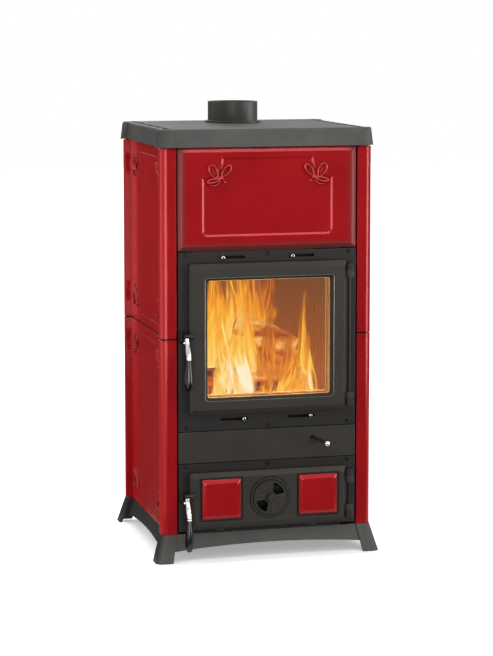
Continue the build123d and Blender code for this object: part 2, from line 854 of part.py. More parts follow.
def door_rope(door_bottom, door_top):
    """Rope seal that fills its channel and reaches the plate."""
    outer, inner = rope_limits(door_bottom, door_top)
    channel = door_back - rope_width
    reach = front - seat_gap
    ring = front_prism(*outer, channel, reach, window_radius)
    return ring - front_prism(*inner, channel - 1, reach + 1, rope_inner_radius)


def handle_boss(handle_z):
    """Boss on the door's left edge that holds the handle's pivot pin."""
    x0 = handle_x + handle_thickness / 2 + slide_gap
    x1 = -door_half_width + boss_reach
    r = hub_radius - 1
    shape = rod_x(r, x0, x1, handle_y, handle_z)
    shape += block(x0, x1, handle_y, door_back - boss_bite, handle_z - r, handle_z + r)
    return shape - rod_x(pivot_radius, x0 - 1, x1 - boss_wall, handle_y, handle_z)


def pivot_pin(handle_z):
    """Pin held in the boss, with a head on the handle's far side."""
    x0 = handle_x - handle_thickness / 2 - slide_gap
    x1 = -door_half_width + boss_reach - boss_wall
    pin = rod_x(pivot_radius, x0, x1, handle_y, handle_z)
    return pin + rod_x(pivot_radius + pin_head, x0 - pin_head, x0, handle_y, handle_z)


def handle_lever(handle_z):
    """Bright steel arm that hangs from the pivot, swings out and ends in a collar over the grip."""
    x0 = handle_x - handle_thickness / 2
    x1 = handle_x + handle_thickness / 2
    grip_y = handle_y - grip_reach
    grip_z = handle_z - arm_drop
    w = arm_width / 2
    points = [(handle_y - w, handle_z), (handle_y + w + 2, handle_z - 4)]
    points += [(handle_y - grip_reach * 0.55 + w, handle_z - arm_drop * 0.6), (grip_y + w, grip_z)]
    points += [(grip_y - w, grip_z), (handle_y - grip_reach * 0.8 - w, handle_z - arm_drop * 0.5)]
    face = Plane.YZ.offset(x0) * make_face(Polyline(*points, close=True))
    arm = extrude(face, amount=handle_thickness)
    arm += rod_x(hub_radius, x0, x1, handle_y, handle_z)
    arm += rod_z(grip_neck_radius, handle_x, grip_y, grip_z - 4, grip_z + 2)
    arm -= rod_x(pivot_radius + running_gap, x0 - 1, x1 + 1, handle_y, handle_z)
    return arm


def handle_cam(handle_z):
    """Cam finger on the lever's outer side, in front of the catch."""
    x1 = handle_x - handle_thickness / 2
    centre_z = handle_z - hub_radius - cam_radius
    return rod_x(cam_radius, x1 - cam_length, x1, handle_y - cam_setback, centre_z)


def handle_grip(handle_z):
    """Turned grip, widest two thirds of the way down."""
    top = handle_z - arm_drop - 4
    neck = grip_neck_radius - 0.5
    curve = Spline(
        (neck, 0), (grip_radius * 0.8, -grip_length * 0.3), (grip_radius, -grip_length * 0.62),
        (grip_radius * 0.86, -grip_length * 0.86), (grip_radius * 0.5, -grip_length * 0.97),
    )
    ends = Polyline((grip_radius * 0.5, -grip_length * 0.97), (0, -grip_length), (0, 0), (neck, 0))
    half_section = Plane.XZ * make_face([curve, ends])
    return Pos(handle_x, handle_y - grip_reach, top) * revolve(half_section, Axis.Z)


def hinge_pin(door_bottom, door_top):
    """Pin through both ears, with a small head on top."""
    ears, lugs = hinge_heights(door_bottom, door_top)
    top = ears[1][1]
    pin = rod_z(pin_radius, hinge_x, hinge_y, ears[0][0] - pin_head, top)
    return pin + rod_z(pin_radius + pin_head, hinge_x, hinge_y, top, top + pin_head)


# Fire door with its glass, held by a tape and four clips
fire_door = door_slab(fire_door_bottom, fire_door_top, door_web)
window = front_prism(window_half_width, window_bottom, window_top, door_front - 1, door_back, window_radius)
wide_half = window_half_width + window_bevel
wide_low = window_bottom - window_bevel
wide_high = window_top + window_bevel
wide_window = front_face(wide_half, wide_low, wide_high, door_front, window_radius)
bevel_floor = door_front + window_bevel_depth
deep_window = front_face(window_half_width, window_bottom, window_top, bevel_floor, window_radius)
fire_door -= window
fire_door -= loft([wide_window, deep_window])
fire_door += handle_boss(fire_handle_z)
glass_half = window_half_width + glass_lap
glass_low = window_bottom - glass_lap
glass_high = window_top + glass_lap
web_back = door_front + door_web
glass_front = web_back + tape_wall
glass_back = glass_front + glass_wall
clip_back = glass_back + clip_wall
clips = []
clip_screws = []
for x in (-clip_x, clip_x):
    for edge, up in ((glass_low, -1), (glass_high, 1)):
        ends = sorted((edge - up * clip_lap, edge + up * clip_reach))
        foot = sorted((edge + up * clip_foot_gap, edge + up * clip_reach))
        x0 = x - clip_length / 2
        x1 = x + clip_length / 2
        screw_z = (foot[0] + foot[1]) / 2
        clip = block(x0, x1, glass_back, clip_back, *ends) + block(x0, x1, web_back, glass_back, *foot)
        shank = rod_y(clip_screw_radius, x, web_back - clip_screw_depth, clip_back, screw_z)
        head_back = clip_back + clip_screw_head_height
        clips.append(clip - shank)
        clip_screws.append(shank + rod_y(clip_screw_head_radius, x, clip_back, head_back, screw_z))
        fire_door -= shank
save("fire_door", fire_door)
save("glass_clips", *clips)
save("glass_clip_screws", *clip_screws)
door_glass = block(-glass_half, glass_half, glass_front, glass_back, glass_low, glass_high)
save("door_glass", door_glass)
tape = front_prism(glass_half, glass_low, glass_high, web_back, glass_front, window_radius)
tape_inner = (glass_half - tape_width, glass_low + tape_width, glass_high - tape_width)
tape -= front_prism(*tape_inner, web_back - 1, glass_front + 1, window_radius)
save("glass_tape", tape)
save("fire_door_rope", door_rope(fire_door_bottom, fire_door_top))
save("fire_hinge_pin", hinge_pin(fire_door_bottom, fire_door_top))
save("fire_handle_pin", pivot_pin(fire_handle_z))
save("fire_handle_lever", handle_lever(fire_handle_z) + handle_cam(fire_handle_z))
save("fire_handle_grip", handle_grip(fire_handle_z))


# Ash door with two tiles and a turning air register
def petal(y0, y1):
    """Pair of opposite ring sectors at upper right and lower left."""
    ring = rod_y(petal_outer, 0, y0, y1, register_z) - rod_y(petal_inner, 0, y0 - 1, y1 + 1, register_z)
    half_angle = math.radians(petal_angle / 2)
    reach = petal_outer * 2
    wedge = None
    for middle in (math.radians(45), math.radians(225)):
        a = (reach * math.cos(middle - half_angle), register_z + reach * math.sin(middle - half_angle))
        b = (reach * math.cos(middle + half_angle), register_z + reach * math.sin(middle + half_angle))
        face = Plane.XZ.offset(-y1) * make_face(Polyline((0, register_z), a, b, close=True))
        piece = extrude(face, amount=y1 - y0)
        wedge = piece if wedge is None else wedge + piece
    return ring & wedge


ash_door = door_slab(ash_door_bottom, ash_door_top, ash_door_web)
ash_door += handle_boss(ash_handle_z)
rim_ring = rod_y(register_radius, 0, door_front - register_rim_height, door_front, register_z)
rim_ring -= rod_y(register_radius - register_rim, 0, door_front - 5, door_front + 1, register_z)
ash_door += rim_ring
groove_back = door_front + register_groove_depth
groove_radius = register_radius + register_groove_width
groove = rod_y(groove_radius, 0, door_front - 1, groove_back, register_z)
ash_door -= groove - rod_y(register_radius, 0, door_front - 2, groove_back + 1, register_z)
tile_half = tile_size / 2
tile_low = tile_z - tile_half
tile_high = tile_z + tile_half
tile_back = door_front + tile_recess
moat_low = tile_low - tile_moat
moat_high = tile_high + tile_moat
moat = front_prism(tile_half + tile_moat, moat_low, moat_high, door_front - 1, tile_back, tile_radius)
for x in (-tile_x, tile_x):
    ash_door -= Pos(x, 0, 0) * moat
ash_door -= rod_y(spindle_radius + running_gap, 0, door_front - 1, door_back, register_z)
ash_web_back = door_front + ash_door_web
ash_door -= petal(door_front - 1, ash_web_back + 1)
save("ash_door", ash_door)
save("ash_door_rope", door_rope(ash_door_bottom, ash_door_top))
save("ash_hinge_pin", hinge_pin(ash_door_bottom, ash_door_top))
save("ash_handle_pin", pivot_pin(ash_handle_z))
save("ash_handle_lever", handle_lever(ash_handle_z) + handle_cam(ash_handle_z))
save("ash_handle_grip", handle_grip(ash_handle_z))

tile_front = door_front - tile_wall
tile = bevelled_plate(
    tile_half, tile_low, tile_high, tile_front, tile_back, tile_bevel, tile_bevel_depth, tile_radius
)
save("left_tile", Pos(-tile_x, 0, 0) * tile)
save("right_tile", Pos(tile_x, 0, 0) * tile)

disc_back = door_front - disc_gap
disc_front = disc_back - disc_wall
disc = rod_y(register_radius - register_rim - bore_gap, 0, disc_front, disc_back, register_z)
disc -= petal(disc_front - 1, disc_back + 1)
rib_front = disc_front - register_rib_height
rib_ends = (register_rib_start, petal_outer)
for turn in range(4):
    for middle in (-register_rib_spacing, register_rib_spacing):
        low = middle - register_rib_width / 2
        rib = block(*rib_ends, rib_front, disc_front, low, low + register_rib_width)
        disc += Pos(0, 0, register_z) * Rot(0, 90 * turn, 0) * rib
collar_front = ash_web_back + disc_gap
collar_back = collar_front + spindle_collar_wall
spindle = rod_y(spindle_radius, 0, disc_front, collar_back, register_z)
spindle += rod_y(spindle_collar_radius, 0, collar_front, collar_back, register_z)
save("air_register", disc - rod_y(spindle_radius, 0, rib_front - 1, disc_back + 1, register_z))
knob_front = disc_front - register_knob_height
knob_back = disc_front - register_knob_foot
knob = rod_y(register_knob_radius, 0, knob_front, knob_back, register_z)
knob += rod_y(spindle_radius, 0, knob_back, disc_front, register_z)
knob_edge = [e for e in knob.edges() if abs(e.center().Y - knob_front) < 0.01]
knob = fillet(knob_edge, register_knob_edge)
save("register_knob", knob)
save("register_spindle", spindle)


# Ash pan on two rails
rails = []
rail_x = pan_half_width - rail_inset
rail_top = pan_bottom - seat_gap
for x in (-rail_x, rail_x):
    rails.append(block(x - rail_width / 2, x + rail_width / 2, plate_back, pan_back, floor_top, rail_top))
save("pan_rails", *rails)
pan = block(-pan_half_width, pan_half_width, pan_front, pan_back, pan_bottom, pan_top)
pan_inner = pan_half_width - pan_wall
pan_floor = pan_bottom + pan_wall
pan -= block(-pan_inner, pan_inner, pan_front + pan_wall, pan_back - pan_wall, pan_floor, pan_top + 1)
save("ash_pan", pan)
handle_line = (pan_bottom + pan_top) / 2
pull_y = pan_front - pan_handle_reach
pull = rod_x(pan_handle_radius, -pan_handle_half_width, pan_handle_half_width, pull_y, handle_line)
for x in (-pan_handle_half_width, pan_handle_half_width):
    pull += rod_y(pan_handle_radius, x, pull_y, pan_front, handle_line)
    pull += Pos(x, pull_y, handle_line) * Sphere(pan_handle_radius)
save("ash_pan_pull", pull)


# Air slides behind the fire plate, each in two guides: one opens by moving right, the other by moving left
slide_front = plate_back + slide_gap
slide_back = slide_front + slide_wall


def slide_ends(starts, length, direction):
    """Ends of a strip that covers both slots and reaches towards the carcass on the side it comes from."""
    reach = carcass_inner - slide_end_margin
    if direction > 0:
        return -reach, starts[1] + length + slide_lap
    return starts[0] - slide_lap, reach


def knob_places(starts, length, inset, direction):
    """Places of the knobs, at the end of their slots that the strip comes from."""
    if direction > 0:
        return [start + inset for start in starts]
    return [start + length - inset for start in starts]


def air_slide(ends, knobs, direction, z):
    """Strip with a hole for each knob and behind it an air port, which the travel brings to the slot."""
    half = slide_height / 2
    strip = block(*ends, slide_front, slide_back, z - half, z + half)
    port_half = slot_height / 2
    for x in knobs:
        strip -= rod_y(slide_shaft_radius, x, slide_front - 1, slide_back + 1, z)
        port = sorted((x - direction * port_near, x - direction * port_far))
        strip -= block(*port, slide_front - 1, slide_back + 1, z - port_half, z + port_half)
    return strip


def slide_knobs(knobs, z):
    """Knobs that reach through the slots."""
    shapes = []
    head_back = front - slide_knob_standoff
    head_front = head_back - slide_knob_wall
    for x in knobs:
        shaft = rod_y(slide_shaft_radius, x, head_back, slide_back, z)
        head = rod_y(slide_knob_radius, x, head_front, head_back, z)
        edge = [e for e in head.edges() if abs(e.center().Y - head_front) < 0.01]
        shapes.append(shaft + fillet(edge, slide_knob_edge))
    return shapes


def slide_guides(ends, direction, z):
    """Bridges on the plate's back that hold the strip over its whole travel."""
    travel_left = slide_travel if direction > 0 else 0.0
    travel_right = slide_travel - travel_left
    channel_half = slide_height / 2 + slide_gap
    channel_back = slide_back + slide_gap
    outer_half = channel_half + guide_leg
    shapes = []
    for x in (ends[0] + travel_left + guide_inset, ends[1] - travel_right - guide_inset):
        x0 = x - guide_width / 2
        x1 = x + guide_width / 2
        bridge = block(x0, x1, plate_back, channel_back + guide_bridge, z - outer_half, z + outer_half)
        channel = block(x0 - 1, x1 + 1, plate_back - 1, channel_back, z - channel_half, z + channel_half)
        shapes.append(bridge - channel)
    return shapes


upper_ends = slide_ends(upper_starts, upper_slot_length, 1)
upper_knobs = knob_places(upper_starts, upper_slot_length, upper_knob_inset, 1)
save("upper_air_slide", air_slide(upper_ends, upper_knobs, 1, upper_slide_z))
save("upper_slide_knobs", *slide_knobs(upper_knobs, upper_slide_z))
save("upper_slide_guides", *slide_guides(upper_ends, 1, upper_slide_z))
lower_ends = slide_ends(lower_starts, lower_slot_length, -1)
lower_knobs = knob_places(lower_starts, lower_slot_length, lower_knob_inset, -1)
save("lower_air_slide", air_slide(lower_ends, lower_knobs, -1, lower_slide_z))
save("lower_slide_knobs", *slide_knobs(lower_knobs, lower_slide_z))
save("lower_slide_guides", *slide_guides(lower_ends, -1, lower_slide_z))


# Grate with its shaker rod
grate_bottom = lip_top + seat_gap
grate_top = grate_bottom + grate_wall
grate_half = well_half_width - grate_side_gap
grate_front = well_front + grate_travel + grate_end_gap
grate_back = well_back - grate_end_gap
grate = block(-grate_half, grate_half, grate_front, grate_back, grate_bottom, grate_top)
slot_front = grate_front + grate_border
slot_back = grate_back - grate_border
slot_pitch = 2 * grate_half / (grate_slots + 1)
for index in range(grate_slots):
    x0 = -grate_half + (index + 1) * slot_pitch - grate_slot_width / 2
    x1 = x0 + grate_slot_width
    if x1 < shaker_link_x - shaker_link_width or x0 > shaker_link_x + shaker_link_width:
        grate -= block(x0, x1, slot_front, slot_back, grate_bottom - 1, grate_top + 1)
save("grate", grate)

link_y = (grate_front + grate_back) / 2
w = shaker_link_width / 2
link_left = shaker_link_x - w
link = block(link_left, shaker_link_x + w, link_y - w, link_y + w, shaker_z - w, grate_bottom)
link += block(link_left, shaker_x + w, link_y - w, link_y + w, shaker_z - w, shaker_z + w)
save("shaker_link", link)

bend_y = front - shaker_bend
ball_centre = (shaker_x + shaker_reach, bend_y - shaker_out, shaker_z - shaker_drop)
rod = rod_y(shaker_radius, shaker_x, bend_y, link_y - w, shaker_z)
rod += Pos(shaker_x, bend_y, shaker_z) * Sphere(shaker_radius)
bent_path = Line((shaker_x, bend_y, shaker_z), ball_centre)
bent_end = Plane(origin=bent_path @ 0, z_dir=bent_path % 0) * Circle(shaker_radius)
rod += extrude(bent_end, amount=bent_path.length)
ball = Pos(*ball_centre) * Sphere(shaker_ball_radius)
save("shaker_rod", rod - ball)
save("shaker_ball", ball)
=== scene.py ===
"""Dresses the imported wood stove: enamel, painted iron, chrome, glass, cast flourishes and a log fire.

Everything is in metres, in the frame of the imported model: Z up, the doors facing -Y.
"""
import math

import bmesh
import bpy
import numpy as np
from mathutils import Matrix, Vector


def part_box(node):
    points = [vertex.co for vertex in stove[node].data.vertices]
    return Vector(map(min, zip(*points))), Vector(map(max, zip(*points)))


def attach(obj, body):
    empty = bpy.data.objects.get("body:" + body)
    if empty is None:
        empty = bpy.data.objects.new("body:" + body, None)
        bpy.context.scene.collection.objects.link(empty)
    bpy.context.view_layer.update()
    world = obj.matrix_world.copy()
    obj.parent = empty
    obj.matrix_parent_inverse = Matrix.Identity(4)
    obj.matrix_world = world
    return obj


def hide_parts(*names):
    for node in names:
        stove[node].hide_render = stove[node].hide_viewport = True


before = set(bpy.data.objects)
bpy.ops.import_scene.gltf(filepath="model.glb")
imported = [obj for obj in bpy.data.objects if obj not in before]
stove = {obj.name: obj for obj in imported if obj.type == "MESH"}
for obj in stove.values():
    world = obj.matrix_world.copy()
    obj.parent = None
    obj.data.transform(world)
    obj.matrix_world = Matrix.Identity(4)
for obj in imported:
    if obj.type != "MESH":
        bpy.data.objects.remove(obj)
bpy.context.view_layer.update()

# Camera: a long lens left of the stove's middle and a little above its lid. It looks down by a few
# degrees, and the shift of the lens brings the feet into the picture without tilting it further.
down_deg = 5.56
right_deg = 14.78
camera_data = bpy.data.cameras.new("camera")
camera_data.lens = 116.5
camera_data.sensor_width = 36.0
camera_data.shift_y = -0.15
camera_data.clip_end = 60.0
camera = bpy.data.objects.new("camera", camera_data)
camera.location = (-1.38266, -5.24734, 1.33010)
camera.rotation_euler = (math.radians(90.0 - down_deg), 0.0, math.radians(-right_deg))
bpy.context.scene.collection.objects.link(camera)
bpy.context.scene.camera = camera
bpy.context.scene.view_settings.view_transform = "Standard"


# Studio: a white floor that keeps the stove's shadow, a white surround, and softboxes whose long
# reflections run down the enamelled columns. Dark cards keep the flat enamel and the door glass from
# washing out.
def add(tree, kind, sockets=None, **settings):
    """Adds a node. An entry of sockets is linked if it is another node's socket, and set otherwise."""
    node = tree.nodes.new(kind)
    for name, value in settings.items():
        setattr(node, name, value)
    for name, value in (sockets or {}).items():
        if isinstance(value, bpy.types.NodeSocket):
            tree.links.new(value, node.inputs[name])
        else:
            node.inputs[name].default_value = value
    return node


def mix(tree, factor, first, second, how="MIX"):
    """Colour mixed from two by a factor."""
    sockets = {0: factor, 6: first, 7: second}
    return add(tree, "ShaderNodeMix", sockets, data_type="RGBA", blend_type=how).outputs[2]


def maths(tree, how, *values):
    """One step of arithmetic on values or sockets."""
    return add(tree, "ShaderNodeMath", dict(enumerate(values)), operation=how).outputs[0]


def ramp(tree, factor, *stops):
    """Colour ramp through stops of place and colour."""
    node = add(tree, "ShaderNodeValToRGB", {"Fac": factor})
    places = node.color_ramp.elements
    while len(places) < len(stops):
        places.new(0.5)
    for element, (place, colour) in zip(places, stops):
        element.position = place
        element.color = colour
    return node.outputs[0]


def grey(value):
    """Grey as a colour."""
    return (value, value, value, 1.0)


def blank(name):
    """New material with its tree and its one Principled shader."""
    material = bpy.data.materials.new(name)
    material.use_nodes = True
    tree = material.node_tree
    return material, tree, tree.nodes["Principled BSDF"]


def seen_directly(tree):
    """1 for what is seen straight, mirrored or through glass, and 0 for what only lights the stove."""
    path = add(tree, "ShaderNodeLightPath").outputs
    seen = maths(tree, "MAXIMUM", path["Is Camera Ray"], path["Is Glossy Ray"])
    return maths(tree, "MAXIMUM", seen, path["Is Transmission Ray"])


def flat_sheet(name, size, material):
    """Flat rectangle of the studio, in one material."""
    x, y = size[0] / 2, size[1] / 2
    data = bpy.data.meshes.new(name)
    data.from_pydata([(-x, -y, 0), (x, -y, 0), (x, y, 0), (-x, y, 0)], [], [(0, 1, 2, 3)])
    data.materials.append(material)
    sheet = bpy.data.objects.new(name, data)
    bpy.context.scene.collection.objects.link(sheet)
    return sheet


floor_paint, tree, shader = blank("floor_paint")
shader.inputs["Roughness"].default_value = 1.0
shader.inputs["Specular IOR Level"].default_value = 0.0
seen = seen_directly(tree)
tree.links.new(mix(tree, seen, grey(0.45), grey(0.92)), shader.inputs["Base Color"])
# Painted shadow: what is seen of the floor glows dimly close to the stove's footprint and fully white
# further out.
footprint = (0.27, 0.25, 0.0)
away = add(tree, "ShaderNodeTexCoord").outputs["Object"]
for how, other in (("ABSOLUTE", (0.0, 0.0, 0.0)), ("SUBTRACT", footprint), ("MAXIMUM", (0.0, 0.0, 0.0))):
    away = add(tree, "ShaderNodeVectorMath", {0: away, 1: other}, operation=how).outputs["Vector"]
away = add(tree, "ShaderNodeVectorMath", {0: away}, operation="LENGTH").outputs["Value"]
bright = ramp(tree, maths(tree, "MULTIPLY", away, 4.0),
              (0.0, grey(0.34)), (0.03, grey(0.70)), (0.10, grey(0.97)), (0.25, grey(1.0)))
tree.links.new(mix(tree, seen, grey(0.0), bright), shader.inputs["Emission Color"])
shader.inputs["Emission Strength"].default_value = 1.0
flat_sheet("floor", (28.0, 28.0), floor_paint)

world = bpy.data.worlds.new("studio")
bpy.context.scene.world = world
world.use_nodes = True
tree = world.node_tree
surround = mix(tree, seen_directly(tree), grey(0.42), grey(1.0))
tree.links.new(surround, tree.nodes["Background"].inputs["Color"])


def aim(thing, place, target):
    """Puts a light or a card at a place, facing a target."""
    thing.location = place
    away = np.array(place, float) - np.array(target, float)
    flat = math.hypot(away[0], away[1])
    thing.rotation_euler = (math.atan2(flat, away[2]), 0.0, math.atan2(away[0], -away[1]))


def softbox(name, place, target, size, radiance, use="both"):
    """Rectangular light of one brightness all over its face, unseen by the camera. A streak light is
    only mirrored: it draws the long highlights on curved enamel and adds nothing to the general level,
    and a fill light is the other way round."""
    data = bpy.data.lights.new(name, "AREA")
    data.shape = "RECTANGLE"
    data.size, data.size_y = size
    data.energy = radiance * math.pi * size[0] * size[1]
    light = bpy.data.objects.new(name, data)
    bpy.context.scene.collection.objects.link(light)
    light.visible_camera = False
    light.visible_diffuse = use != "streak"
    light.visible_glossy = use != "fill"
    aim(light, place, target)
    return light


softbox("front_fill", (0.95, -2.7, 1.5), (0.0, 0.0, 0.7), (1.4, 1.2), 2.8, "fill")
softbox("overhead_front", (0.45, -1.75, 3.05), (0.0, 0.0, 0.9), (2.4, 1.0), 3.2, "fill")
softbox("overhead", (-0.8, 0.6, 3.3), (0.0, 0.0, 0.6), (2.6, 2.0), 1.9)
softbox("left_fill", (-3.0, -1.2, 1.9), (0.0, 0.0, 0.7), (1.6, 2.2), 2.8, "fill")
softbox("left_rear_fill", (-2.8, 1.7, 1.5), (0.0, 0.0, 0.7), (1.4, 2.0), 2.2, "fill")
softbox("rear_fill", (0.8, 3.6, 1.9), (0.0, 0.0, 0.6), (2.6, 1.8), 0.9, "fill")
left_light = softbox("column_streak", (-1.02, -2.9, 0.5), (-0.25, -0.2, 0.5), (1.9, 1.0), 9.0, "streak")
right_light = softbox("right_streak", (2.05, -2.10, 0.5), (0.26, -0.2, 0.5), (1.25, 1.0), 12.0, "streak")
softbox("collar_streak", (2.6, -0.6, 1.35), (0.0, 0.1, 1.1), (1.2, 0.7), 12.0, "streak")
softbox("lid_top_streak", (-0.05, 3.0, 1.75), (-0.1, 0.0, 1.12), (0.6, 0.9), 3.6, "streak")
softbox("bevel_streak", (0.6, -2.46, 2.42), (0.0, -0.2, 0.7), (2.2, 0.75), 8.0, "streak")

# The column lights spare the door glass, which would mirror their whole faces when seen from another side
spared = bpy.data.collections.new("spared_by_column_lights")
spared.objects.link(stove["door_glass"])
for entry in spared.collection_objects:
    entry.light_linking.link_state = "EXCLUDE"
left_light.light_linking.receiver_collection = spared
right_light.light_linking.receiver_collection = spared

card_paint, tree, shader = blank("card_paint")
shader.inputs["Base Color"].default_value = grey(0.03)
shader.inputs["Roughness"].default_value = 1.0
shader.inputs["Specular IOR Level"].default_value = 0.0


def dark_card(name, place, target, size):
    """Dark card that only reflections see."""
    card = flat_sheet(name, size, card_paint)
    aim(card, place, target)
    card.visible_camera = False
    card.visible_diffuse = False
    card.visible_shadow = False
    card.visible_transmission = False


dark_card("left_rear_card", (-1.5, 3.2, 0.2), (-0.25, 0.0, 0.2), (3.2, 1.9))
dark_card("left_floor_card", (-1.5, 1.6, 0.002), (-1.5, 1.6, -1.0), (2.4, 4.2))
dark_card("front_card", (1.15, -4.2, 0.6), (0.0, 0.0, 0.6), (1.8, 2.6))
dark_card("front_floor_card", (0.5, -2.4, 0.002), (0.5, -2.4, -1.0), (2.2, 3.9))
dark_card("right_card", (2.1, 0.75, 0.2), (0.26, -0.2, 0.2), (4.0, 1.6))


# Base: four splayed corner feet and the arched skirts between them, cast in iron under the whole stove and
# painted in a grey satin. The paint is rubbed on its edges, and painted shade darkens the faces to the
# sides.
def paint(code):
    """Linear colour of a paint written as two hexadecimal digits each of red, green and blue."""
    parts = [int(code[i:i + 2], 16) / 255.0 for i in (0, 2, 4)]
    return tuple([c / 12.92 if c <= 0.04045 else ((c + 0.055) / 1.055) ** 2.4 for c in parts] + [1.0])


def share(tree, value, start, end):
    """0 where a value is at its start, 1 where it is at its end, and in proportion between them."""
    return add(tree, "ShaderNodeMapRange", {"Value": value, "From Min": start, "From Max": end}).outputs[0]


def place_of(tree):
    """X, Y and Z of the point on the surface, in the stove's frame."""
    place = add(tree, "ShaderNodeTexCoord").outputs["Object"]
    return add(tree, "ShaderNodeSeparateXYZ", {"Vector": place}).outputs


def facing(tree, axis):
    """How squarely the surface faces either way along an axis, from 0 to 1."""
    normal = add(tree, "ShaderNodeNewGeometry").outputs["Normal"]
    parts = add(tree, "ShaderNodeSeparateXYZ", {"Vector": normal}).outputs
    return maths(tree, "ABSOLUTE", parts[axis])


def even_grain():
    """Group for cast and painted surfaces: a broad cloud, a fine grain and their sum as a height."""
    group = bpy.data.node_groups.new("cast_grain", "ShaderNodeTree")
    for name, value in (("Cloud Scale", 6.0), ("Grain Scale", 700.0), ("Grain Share", 0.5)):
        socket = group.interface.new_socket(name, in_out="INPUT", socket_type="NodeSocketFloat")
        socket.default_value = value
    for name in ("Cloud", "Grain", "Height"):
        group.interface.new_socket(name, in_out="OUTPUT", socket_type="NodeSocketFloat")
    given = add(group, "NodeGroupInput")
    made = add(group, "NodeGroupOutput")
    place = add(group, "ShaderNodeTexCoord").outputs["Object"]
    clouds = {"Vector": place, "Scale": given.outputs["Cloud Scale"], "Detail": 4.0, "Roughness": 0.6}
    cloud = add(group, "ShaderNodeTexNoise", clouds).outputs["Fac"]
    grains = {"Vector": place, "Scale": given.outputs["Grain Scale"], "Detail": 3.0, "Roughness": 0.55}
    grain = add(group, "ShaderNodeTexNoise", grains).outputs["Fac"]
    fine = maths(group, "MULTIPLY", grain, given.outputs["Grain Share"])
    group.links.new(cloud, made.inputs["Cloud"])
    group.links.new(grain, made.inputs["Grain"])
    group.links.new(maths(group, "ADD", cloud, fine), made.inputs["Height"])
    return group


cast_grain = even_grain()


def grained(tree, cloud_scale, grain_scale, grain_share):
    """Places the cast grain in a material."""
    node = add(tree, "ShaderNodeGroup", node_tree=cast_grain)
    node.inputs["Cloud Scale"].default_value = cloud_scale
    node.inputs["Grain Scale"].default_value = grain_scale
    node.inputs["Grain Share"].default_value = grain_share
    return node.outputs


def softened(tree, radius):
    """Normal rounded over edges within a radius, and how far it turns there, from 0 on flats to 1."""
    rounded = add(tree, "ShaderNodeBevel", {"Radius": radius}, samples=4).outputs[0]
    straight = add(tree, "ShaderNodeNewGeometry").outputs["Normal"]
    dot = add(tree, "ShaderNodeVectorMath", {0: rounded, 1: straight}, operation="DOT_PRODUCT")
    return rounded, share(tree, maths(tree, "SUBTRACT", 1.0, dot.outputs["Value"]), 0.01, 0.25)


def bumped(tree, shader, height, strength, distance, normal=None):
    """Feeds a height to the shader's normal through a bump."""
    sockets = {"Height": height, "Strength": strength, "Distance": distance}
    if normal is not None:
        sockets["Normal"] = normal
    tree.links.new(add(tree, "ShaderNodeBump", sockets).outputs[0], shader.inputs["Normal"])


def dress(material, *names):
    """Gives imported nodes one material."""
    for name in names:
        slots = stove[name].data.materials
        slots.clear()
        slots.append(material)


def iron_paint(name, dark, light, rubbed, rough, gloss, bump, side_shade=0.0):
    """Painted cast iron: paint mottled from dark to light and rubbed on its edges, with painted shade in its
    corners and on the faces that look sideways, over the grain that the sand of the mould leaves."""
    material, tree, shader = blank(name)
    grain = grained(tree, 11.0, 620.0, 0.8)
    rounded, edge = softened(tree, 0.0018)
    coat = ramp(tree, grain["Cloud"], (0.32, paint(dark)), (0.68, paint(light)))
    specks = ramp(tree, grain["Grain"], (0.25, grey(0.86)), (0.72, grey(1.12)))
    coat = mix(tree, 1.0, coat, specks, "MULTIPLY")
    # Painted shade: faces that look sideways are darkened by the side share.
    sideways = maths(tree, "POWER", facing(tree, "X"), 4.0)
    coat = mix(tree, maths(tree, "MULTIPLY", sideways, side_shade), coat, paint("1C1A19"))
    # Painted shade: ambient occlusion darkens the paint in corners and creases.
    corner_shade = add(tree, "ShaderNodeAmbientOcclusion", {"Distance": 0.010}, samples=6).outputs["AO"]
    corner_shade = ramp(tree, corner_shade, (0.35, grey(0.12)), (0.80, grey(1.0)))
    coat = mix(tree, 1.0, coat, corner_shade, "MULTIPLY")
    rub = maths(tree, "MULTIPLY", edge, maths(tree, "MULTIPLY", grain["Cloud"], 0.9))
    tree.links.new(mix(tree, rub, coat, paint(rubbed)), shader.inputs["Base Color"])
    low, high = rough
    sheen = ramp(tree, grain["Grain"], (0.3, grey(low)), (0.7, grey(high)))
    tree.links.new(sheen, shader.inputs["Roughness"])
    shader.inputs["Specular IOR Level"].default_value = gloss
    bumped(tree, shader, grain["Height"], bump, 0.0010, rounded)
    return material


base_iron = iron_paint("base_iron", "3C3A36", "4C4A46", "807C74", (0.46, 0.58), 0.22, 0.26, 0.85)
dress(base_iron, "corner_feet", "base_skirts")

# Carcass: the welded box of black sheet steel that carries the castings, its rear sheet, and the rails
# of the ash pan inside it.
black_sheet = iron_paint("black_sheet", "2A2A29", "343432", "5C5B58", (0.42, 0.52), 0.30, 0.10)
dress(black_sheet, "carcass_floor", "carcass_left_wall", "carcass_right_wall", "carcass_rear_wall")
dress(black_sheet, "carcass_front_wall", "carcass_roof", "rear_sheet", "pan_rails")

# Side castings: two on each side, one on the other, each of iron with its corner columns and coated in red
# enamel, glass fused on in several coats. It keeps a faint unevenness from firing, carries painted light
# down the columns and a painted dark reflection on its sharp edges, and a dark line shows where the castings
# meet.
field_edge = 0.2555
column_face = 0.268
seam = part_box("left_lower_side")[1][2] + 0.0008
red_enamel, tree, shader = blank("red_enamel")
grain = grained(tree, 5.0, 210.0, 0.22)
rounded, edge = softened(tree, 0.0016)
body_red = ramp(tree, grain["Cloud"],
                (0.30, paint("A2161B")), (0.52, paint("AE191E")), (0.75, paint("B61C21")))
place = place_of(tree)
